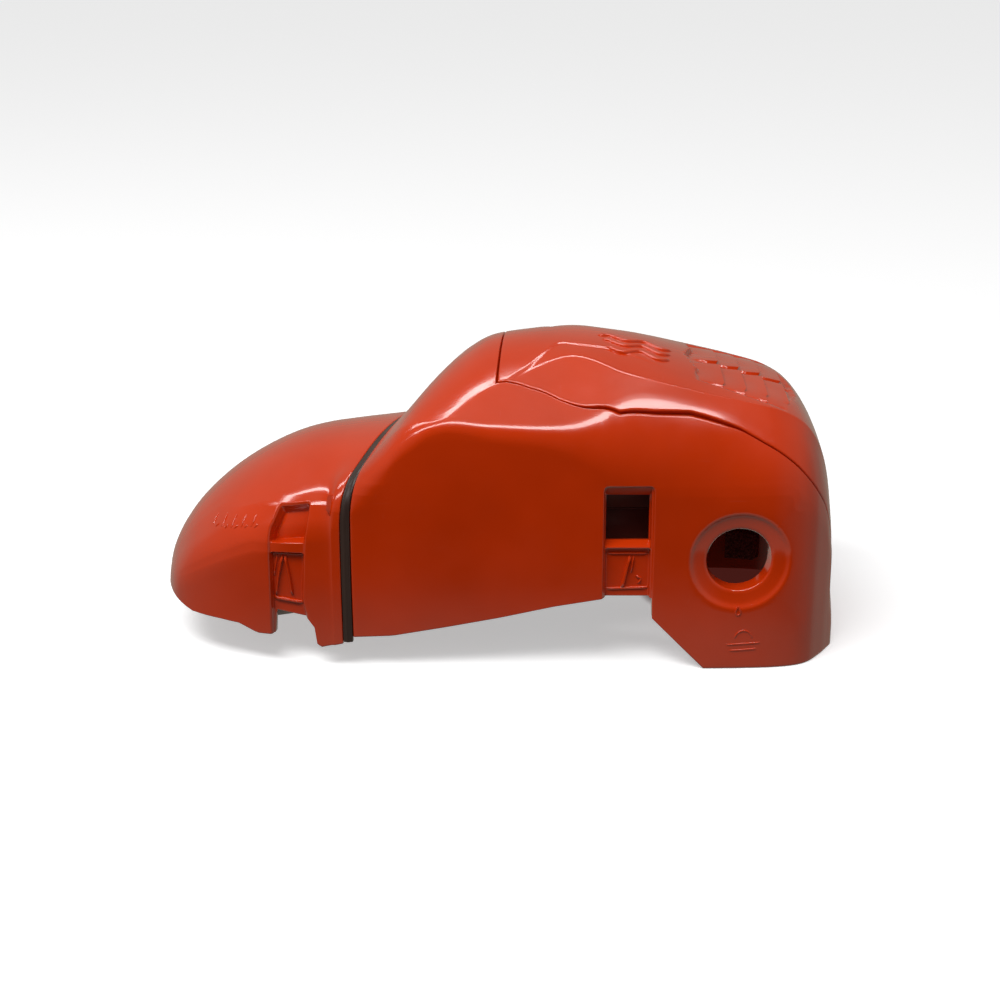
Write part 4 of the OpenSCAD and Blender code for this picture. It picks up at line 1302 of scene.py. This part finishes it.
def cad_piece(node, name, material, rounding, body, slot):
    """A copy of one CAD node, settled as a finished piece."""
    obj = from_cad(node, name, material, rounding)
    settle(obj, body, slot, node)
    return obj


class COVER_OT_filter_hood(bpy.types.Operator):
    """Build the rear cover over the filter"""
    bl_idname = "cover.filter_hood"
    bl_label = "Filter hood"

    def execute(self, context):
        hood = build_filter_hood(shell_finish(context, "cover_gloss"))
        settle(hood, "cover", "gloss_cover", "filter_hood")
        return {"FINISHED"}


class COVER_OT_cylinder_hood(bpy.types.Operator):
    """Build the front cover over the cylinder"""
    bl_idname = "cover.cylinder_hood"
    bl_label = "Cylinder hood"

    def execute(self, context):
        hood = build_cylinder_hood(shell_finish(context, "front_gloss"))
        settle(hood, "cover", "gloss_cover_front", "cylinder_hood")
        return {"FINISHED"}


class COVER_OT_seam(bpy.types.Operator):
    """Build the rubber seal and the frame behind it"""
    bl_idname = "cover.seam"
    bl_label = "Seam seal and frame"

    def execute(self, context):
        rubber = plastic("seal_black", context.scene.cover_colours.seal, 0.34, 0.2, (1300, 0.5, 0.25),
                         lift=1.2)
        settle(build_seam_seal(rubber), "cover", "seal_rubber", "seam_seal")
        dark = dark_finish(context, "frame_dark")
        cad_piece("seam_frame", "seam_frame_ring", dark, 0.2, "cover", "frame_plastic")
        return {"FINISHED"}


class COVER_OT_top_panel(bpy.types.Operator):
    """Build the louvred top panel and its push nuts"""
    bl_idname = "cover.top_panel"
    bl_label = "Top panel"

    def execute(self, context):
        panel = build_top_panel(shell_finish(context, "panel_gloss"))
        settle(panel, "cover", "gloss_panel", "top_panel")
        steel = metal("spring_steel_oiled", (0.36, 0.35, 0.33), 0.32)
        places = [((x, y, nut_z), (0, 0, 1)) for x, y, _, _, nut_z in STUDS]
        nuts = fasteners("panel_push_nut_set", push_nut_parts(), places, steel, 3)
        settle(nuts, "cover", "spring_steel", "panel_push_nuts")
        return {"FINISHED"}


class COVER_OT_bulkhead(bpy.types.Operator):
    """Build the inner wall and its four screws"""
    bl_idname = "cover.bulkhead"
    bl_label = "Bulkhead and screws"

    def execute(self, context):
        cad_piece("bulkhead", "bulkhead_wall", dark_finish(context, "bulkhead_dark"),
                  context.scene.cover_sizes.rounding / MM, "cover", "bulkhead_plastic")
        zinc = metal("screw_zinc", (0.62, 0.61, 0.57), 0.26, 160.0)
        places = [((-17.7, y, z), (-1, 0, 0)) for y, z in SCREWS]
        screws = fasteners("bulkhead_screw_set", screw_parts(2.4, -9.6), places, zinc, 7)
        settle(screws, "cover", "screw_steel", "bulkhead_screws")
        return {"FINISHED"}


class COVER_OT_shutter(bpy.types.Operator):
    """Build the winter shutter, its washer and its rivet"""
    bl_idname = "cover.shutter"
    bl_label = "Winter shutter"

    def execute(self, context):
        gloss = shell_finish(context, "shutter_gloss")
        cad_piece("winter_shutter", "winter_shutter_disc", gloss, 0.25, "shutter", "shutter_plastic")
        steel = metal("washer_bright", (0.6, 0.59, 0.57), 0.22, 200.0)
        cad_piece("shutter_washer", "shutter_washer_ring", steel, 0.08, "cover", "washer_steel")
        profile = [(0, 0.02), (0, 2.0), (0.35, 2.8), (1.1, 3.0), (1.5, 2.6), (1.55, 1.95), (6.4, 1.95),
                   (6.45, 3.6), (6.8, 3.65), (7.3, 3.0), (7.6, 1.6), (7.6, 0.02)]
        rivet = fasteners("shutter_rivet_set", [lathe(profile)], [((-19.3, 0, 101), (1, 0, 0))], steel, 5)
        settle(rivet, "cover", "rivet_steel", "shutter_rivet")
        return {"FINISHED"}


class COVER_OT_heat_shield(bpy.types.Operator):
    """Build the aluminium shield and its rivets"""
    bl_idname = "cover.heat_shield"
    bl_label = "Heat shield"

    def execute(self, context):
        sheet = metal("shield_rolled", (0.55, 0.55, 0.56), 0.42, 60.0, 0.3)
        cad_piece("heat_shield", "heat_shield_sheet", sheet, 0.0, "cover", "shield_aluminium")
        bright = metal("rivet_aluminium", (0.58, 0.58, 0.6), 0.3, 180.0)
        places = [((SHIELD_RIVET_X, side * (y - 3.3), z), (0, -side, 0))
                  for side in (-1, 1) for y, z in SHIELD_RIVETS]
        rivets = fasteners("heat_shield_rivet_set", rivet_parts(9.2), places, bright, 9)
        settle(rivets, "cover", "shield_rivet", "heat_shield_rivets")
        return {"FINISHED"}


class COVER_OT_filter(bpy.types.Operator):
    """Build the filter's case, gasket and grommet"""
    bl_idname = "cover.filter"
    bl_label = "Filter case"

    def execute(self, context):
        edge = context.scene.cover_sizes.rounding / MM
        case = dark_finish(context, "filter_dark", 0.34, (1100, 0.5, 0.25))
        rubber = dark_finish(context, "rubber_dark", 0.5, (1300, 0.6, 0.3))
        for node, name, material, rounding, slot in (
                ("filter_backplate", "filter_backplate_body", case, edge, "filter_plastic"),
                ("filter_frame_upper", "filter_cage_upper", case, edge, "filter_plastic"),
                ("filter_frame_lower", "filter_cage_lower", case, edge, "filter_plastic"),
                ("filter_gasket", "filter_gasket_ring", rubber, 0.08, "gasket_rubber"),
                ("intake_grommet", "intake_grommet_ring", rubber, 0.35, "grommet_rubber")):
            cad_piece(node, name, material, rounding, "filter", slot)
        return {"FINISHED"}


class COVER_OT_filter_sheets(bpy.types.Operator):
    """Build the two pleated filter sheets"""
    bl_idname = "cover.filter_sheets"
    bl_label = "Filter sheets"

    def execute(self, context):
        sizes = context.scene.cover_sizes
        cloth = mesh_cloth("filter_cloth", context.scene.cover_colours.cloth)
        tree = pleat_tree()
        for node, name, z, sign in (("filter_media_upper", "filter_sheet_upper", 79.8, 1),
                                    ("filter_media_lower", "filter_sheet_lower", 52.2, -1)):
            base = mesh_object("sheet_base", [(0, 0, 0), (1, 0, 0), (0, 1, 0)], [(0, 1, 2)])
            obj = grown(name, base, tree, {
                "Length": 0.0615, "Width": 0.0708, "Pleats": sizes.pleats, "Rise": sign * sizes.pleat_rise,
                "Thickness": sizes.sheet, "Centre": (0.032, 0.0, z * MM), "Material": cloth})
            settle(obj, "filter", "filter_mesh", node)
        return {"FINISHED"}


class COVER_OT_pads(bpy.types.Operator):
    """Build the foam pads"""
    bl_idname = "cover.pads"
    bl_label = "Foam pads"

    def execute(self, context):
        soft = foam("pad_foam", context.scene.cover_colours.foam)
        pad = foam_pad("hold_down_pad_block", [((21, -10, 90.4), (41, 10, 102))], soft, 11)
        settle(pad, "cover", "pad_foam", "hold_down_pad")
        strips = cad_piece("skirt_pads", "skirt_pad_strips", soft, 0.4, "cover", "pad_foam")
        return {"FINISHED"}


class COVER_OT_stage(bpy.types.Operator):
    """Build the floor, the lights and the camera"""
    bl_idname = "cover.stage"
    bl_label = "Stage"

    def execute(self, context):
        build_stage(context)
        return {"FINISHED"}


class COVER_PT_parts(bpy.types.Panel):
    """Lists the pieces and the settings"""
    bl_idname = "COVER_PT_parts"
    bl_label = "Engine cover"
    bl_space_type = "VIEW_3D"
    bl_region_type = "UI"
    bl_category = "Cover"

    def draw(self, context):
        for settings in (context.scene.cover_sizes, context.scene.cover_colours):
            for key in settings.__annotations__:
                self.layout.prop(settings, key)
        for operator in OPERATORS:
            self.layout.operator(operator.bl_idname)


OPERATORS = (COVER_OT_filter_hood, COVER_OT_cylinder_hood, COVER_OT_seam, COVER_OT_top_panel,
             COVER_OT_bulkhead,
             COVER_OT_shutter, COVER_OT_heat_shield, COVER_OT_filter, COVER_OT_filter_sheets, COVER_OT_pads,
             COVER_OT_stage)
CLASSES = (CoverSizes, CoverColours, *OPERATORS, COVER_PT_parts)


def build_world():
    """Studio surroundings: white to the camera, with a darker room for reflections."""
    world = bpy.data.worlds.new("studio")
    world.use_nodes = True
    tree = world.node_tree
    tree.nodes.clear()
    link = tree.links.new
    where = add_node(tree, "ShaderNodeTexCoord")
    split = add_node(tree, "ShaderNodeSeparateXYZ")
    link(where.outputs["Generated"], split.inputs[0])
    path = add_node(tree, "ShaderNodeLightPath")
    soft = ramp(tree, split.outputs["Z"], -0.2, 0.75, 0.03, 0.5)
    sharp = ramp(tree, split.outputs["Y"], -0.2, 0.6, 0.0, 0.34)
    # right, left, above and below
    for axis, *span in (("X", 0.3, 0.85, 0.0, 0.42), ("X", -0.3, -0.9, 0.0, 0.3),
                        ("Z", 0.78, 0.98, 0.0, 0.75), ("Z", -0.40, -0.46, 0.004, 0.5)):
        sharp = combine(tree, "MAXIMUM", sharp, ramp(tree, split.outputs[axis], *span))
    glossy = add_node(tree, "ShaderNodeMix", data_type="FLOAT")
    link(path.outputs["Is Glossy Ray"], glossy.inputs[0])
    link(soft, glossy.inputs[2])
    link(sharp, glossy.inputs[3])
    seen = add_node(tree, "ShaderNodeMix", {3: 1.0}, data_type="FLOAT")
    link(path.outputs["Is Camera Ray"], seen.inputs[0])
    link(glossy.outputs[0], seen.inputs[2])
    tint = add_node(tree, "ShaderNodeMix", {6: (1, 1, 1, 1), 7: (1, 0.93, 0.78, 1)}, data_type="RGBA")
    link(path.outputs["Is Glossy Ray"], tint.inputs["Factor"])
    back = add_node(tree, "ShaderNodeBackground")
    link(tint.outputs[2], back.inputs["Color"])
    link(seen.outputs[0], back.inputs["Strength"])
    out = add_node(tree, "ShaderNodeOutputWorld")
    link(back.outputs[0], out.inputs["Surface"])
    bpy.context.scene.world = world


# Width of the camera's picture in mm, its focal length in mm, and the point it looks at in metres
CAMERA_WIDTH, CAMERA_LENS = 36, 71.928
CAMERA_AIM = (0.0008, 0, 0.056)


def build_stage(context):
    """A pale floor with a painted dark red shade under the tail, soft lights and the camera."""
    far = 3000
    corners = [(-far, -far, 0), (far, -far, 0), (far, far, 0), (-far, far, 0)]
    floor = mesh_object("floor", corners, [(0, 1, 2, 3)])
    mat = bpy.data.materials.new("pale_floor")
    mat.use_nodes = True
    tree = mat.node_tree
    shader = tree.nodes["Principled BSDF"]
    for key, value in (("Roughness", 0.9), ("Specular IOR Level", 0.0), ("Emission Strength", 0.45)):
        shader.inputs[key].default_value = value
    # painted shade: the floor is dark red in an ellipse under the tail, where the port looks down on it; its
    # dark colour stands in for the shell's shadow and its faint red glow for the shell's reflected light
    where = add_node(tree, "ShaderNodeTexCoord")
    ellipse = add_node(tree, "ShaderNodeMapping", {"Location": (-2.625, -0.789, 0), "Scale": (25, 26.3, 0)})
    tree.links.new(where.outputs["Object"], ellipse.inputs["Vector"])
    reach = add_node(tree, "ShaderNodeVectorMath", operation="LENGTH")
    tree.links.new(ellipse.outputs[0], reach.inputs[0])
    outside_painted_shade = ramp(tree, reach.outputs["Value"], 0.85, 1.0)
    # painted shade colours: dark red base and weak red glow inside the ellipse, plain pale floor outside it
    for socket, under, clear in (("Base Color", (0.1, 0.04, 0.035, 1), (0.8, 0.8, 0.8, 1)),
                                 ("Emission Color", (0.12, 0.022, 0.017, 1), (1, 1, 1, 1))):
        blend = add_node(tree, "ShaderNodeMix", {6: under, 7: clear}, data_type="RGBA")
        tree.links.new(outside_painted_shade, blend.inputs["Factor"])
        tree.links.new(blend.outputs[2], shader.inputs[socket])
    floor.data.materials.append(mat)
    floor.visible_glossy = False
    floor.visible_diffuse = False
    build_world()
    for name, where, aim, size, power, seen in (
            ("key_light", (-0.4, -0.64, 1.2), (0.0, 0, 0.07), (1.0, 0.4), 15.5, "diffuse"),
            ("front_strip", (-0.35, -0.53, 1.38), (-0.35, 0, 0.1), (2.0, 0.24), 17, "glossy"),
            ("back_strip", (-0.35, 0.49, 1.42), (-0.35, 0, 0.1), (2.0, 0.18), 12, "glossy")):
        data = bpy.data.lights.new(name, "AREA")
        data.shape = "RECTANGLE"
        data.size, data.size_y = size
        data.energy = power
        obj = add_object(name, data)
        obj.location = where
        obj.rotation_euler = (Vector(aim) - Vector(where)).to_track_quat("-Z", "Y").to_euler()
        obj.visible_glossy = seen == "glossy"
        obj.visible_diffuse = seen == "diffuse"
    sizes = context.scene.cover_sizes
    cam = bpy.data.cameras.new("camera")
    cam.sensor_width = CAMERA_WIDTH
    cam.lens = CAMERA_LENS
    obj = add_object("camera", cam)
    tilt, away = sizes.camera_tilt, sizes.camera_distance
    obj.location = Vector(CAMERA_AIM) + away * Vector((0, -math.cos(tilt), math.sin(tilt)))
    obj.rotation_euler = (math.radians(90) - tilt, 0, 0)
    bpy.context.scene.camera = obj
    bpy.context.scene.view_settings.view_transform = "Standard"


def register():
    """Makes the settings, operators and panel known."""
    for cls in CLASSES:
        bpy.utils.register_class(cls)
    bpy.types.Scene.cover_sizes = bpy.props.PointerProperty(type=CoverSizes)
    bpy.types.Scene.cover_colours = bpy.props.PointerProperty(type=CoverColours)


def unregister():
    """Takes them out again."""
    del bpy.types.Scene.cover_sizes
    del bpy.types.Scene.cover_colours
    for cls in reversed(CLASSES):
        bpy.utils.unregister_class(cls)


def main():
    """Builds everything in order."""
    register()
    for operator in OPERATORS:
        group, name = operator.bl_idname.split(".")
        getattr(getattr(bpy.ops, group), name)()


if __name__ == "__main__":
    main()
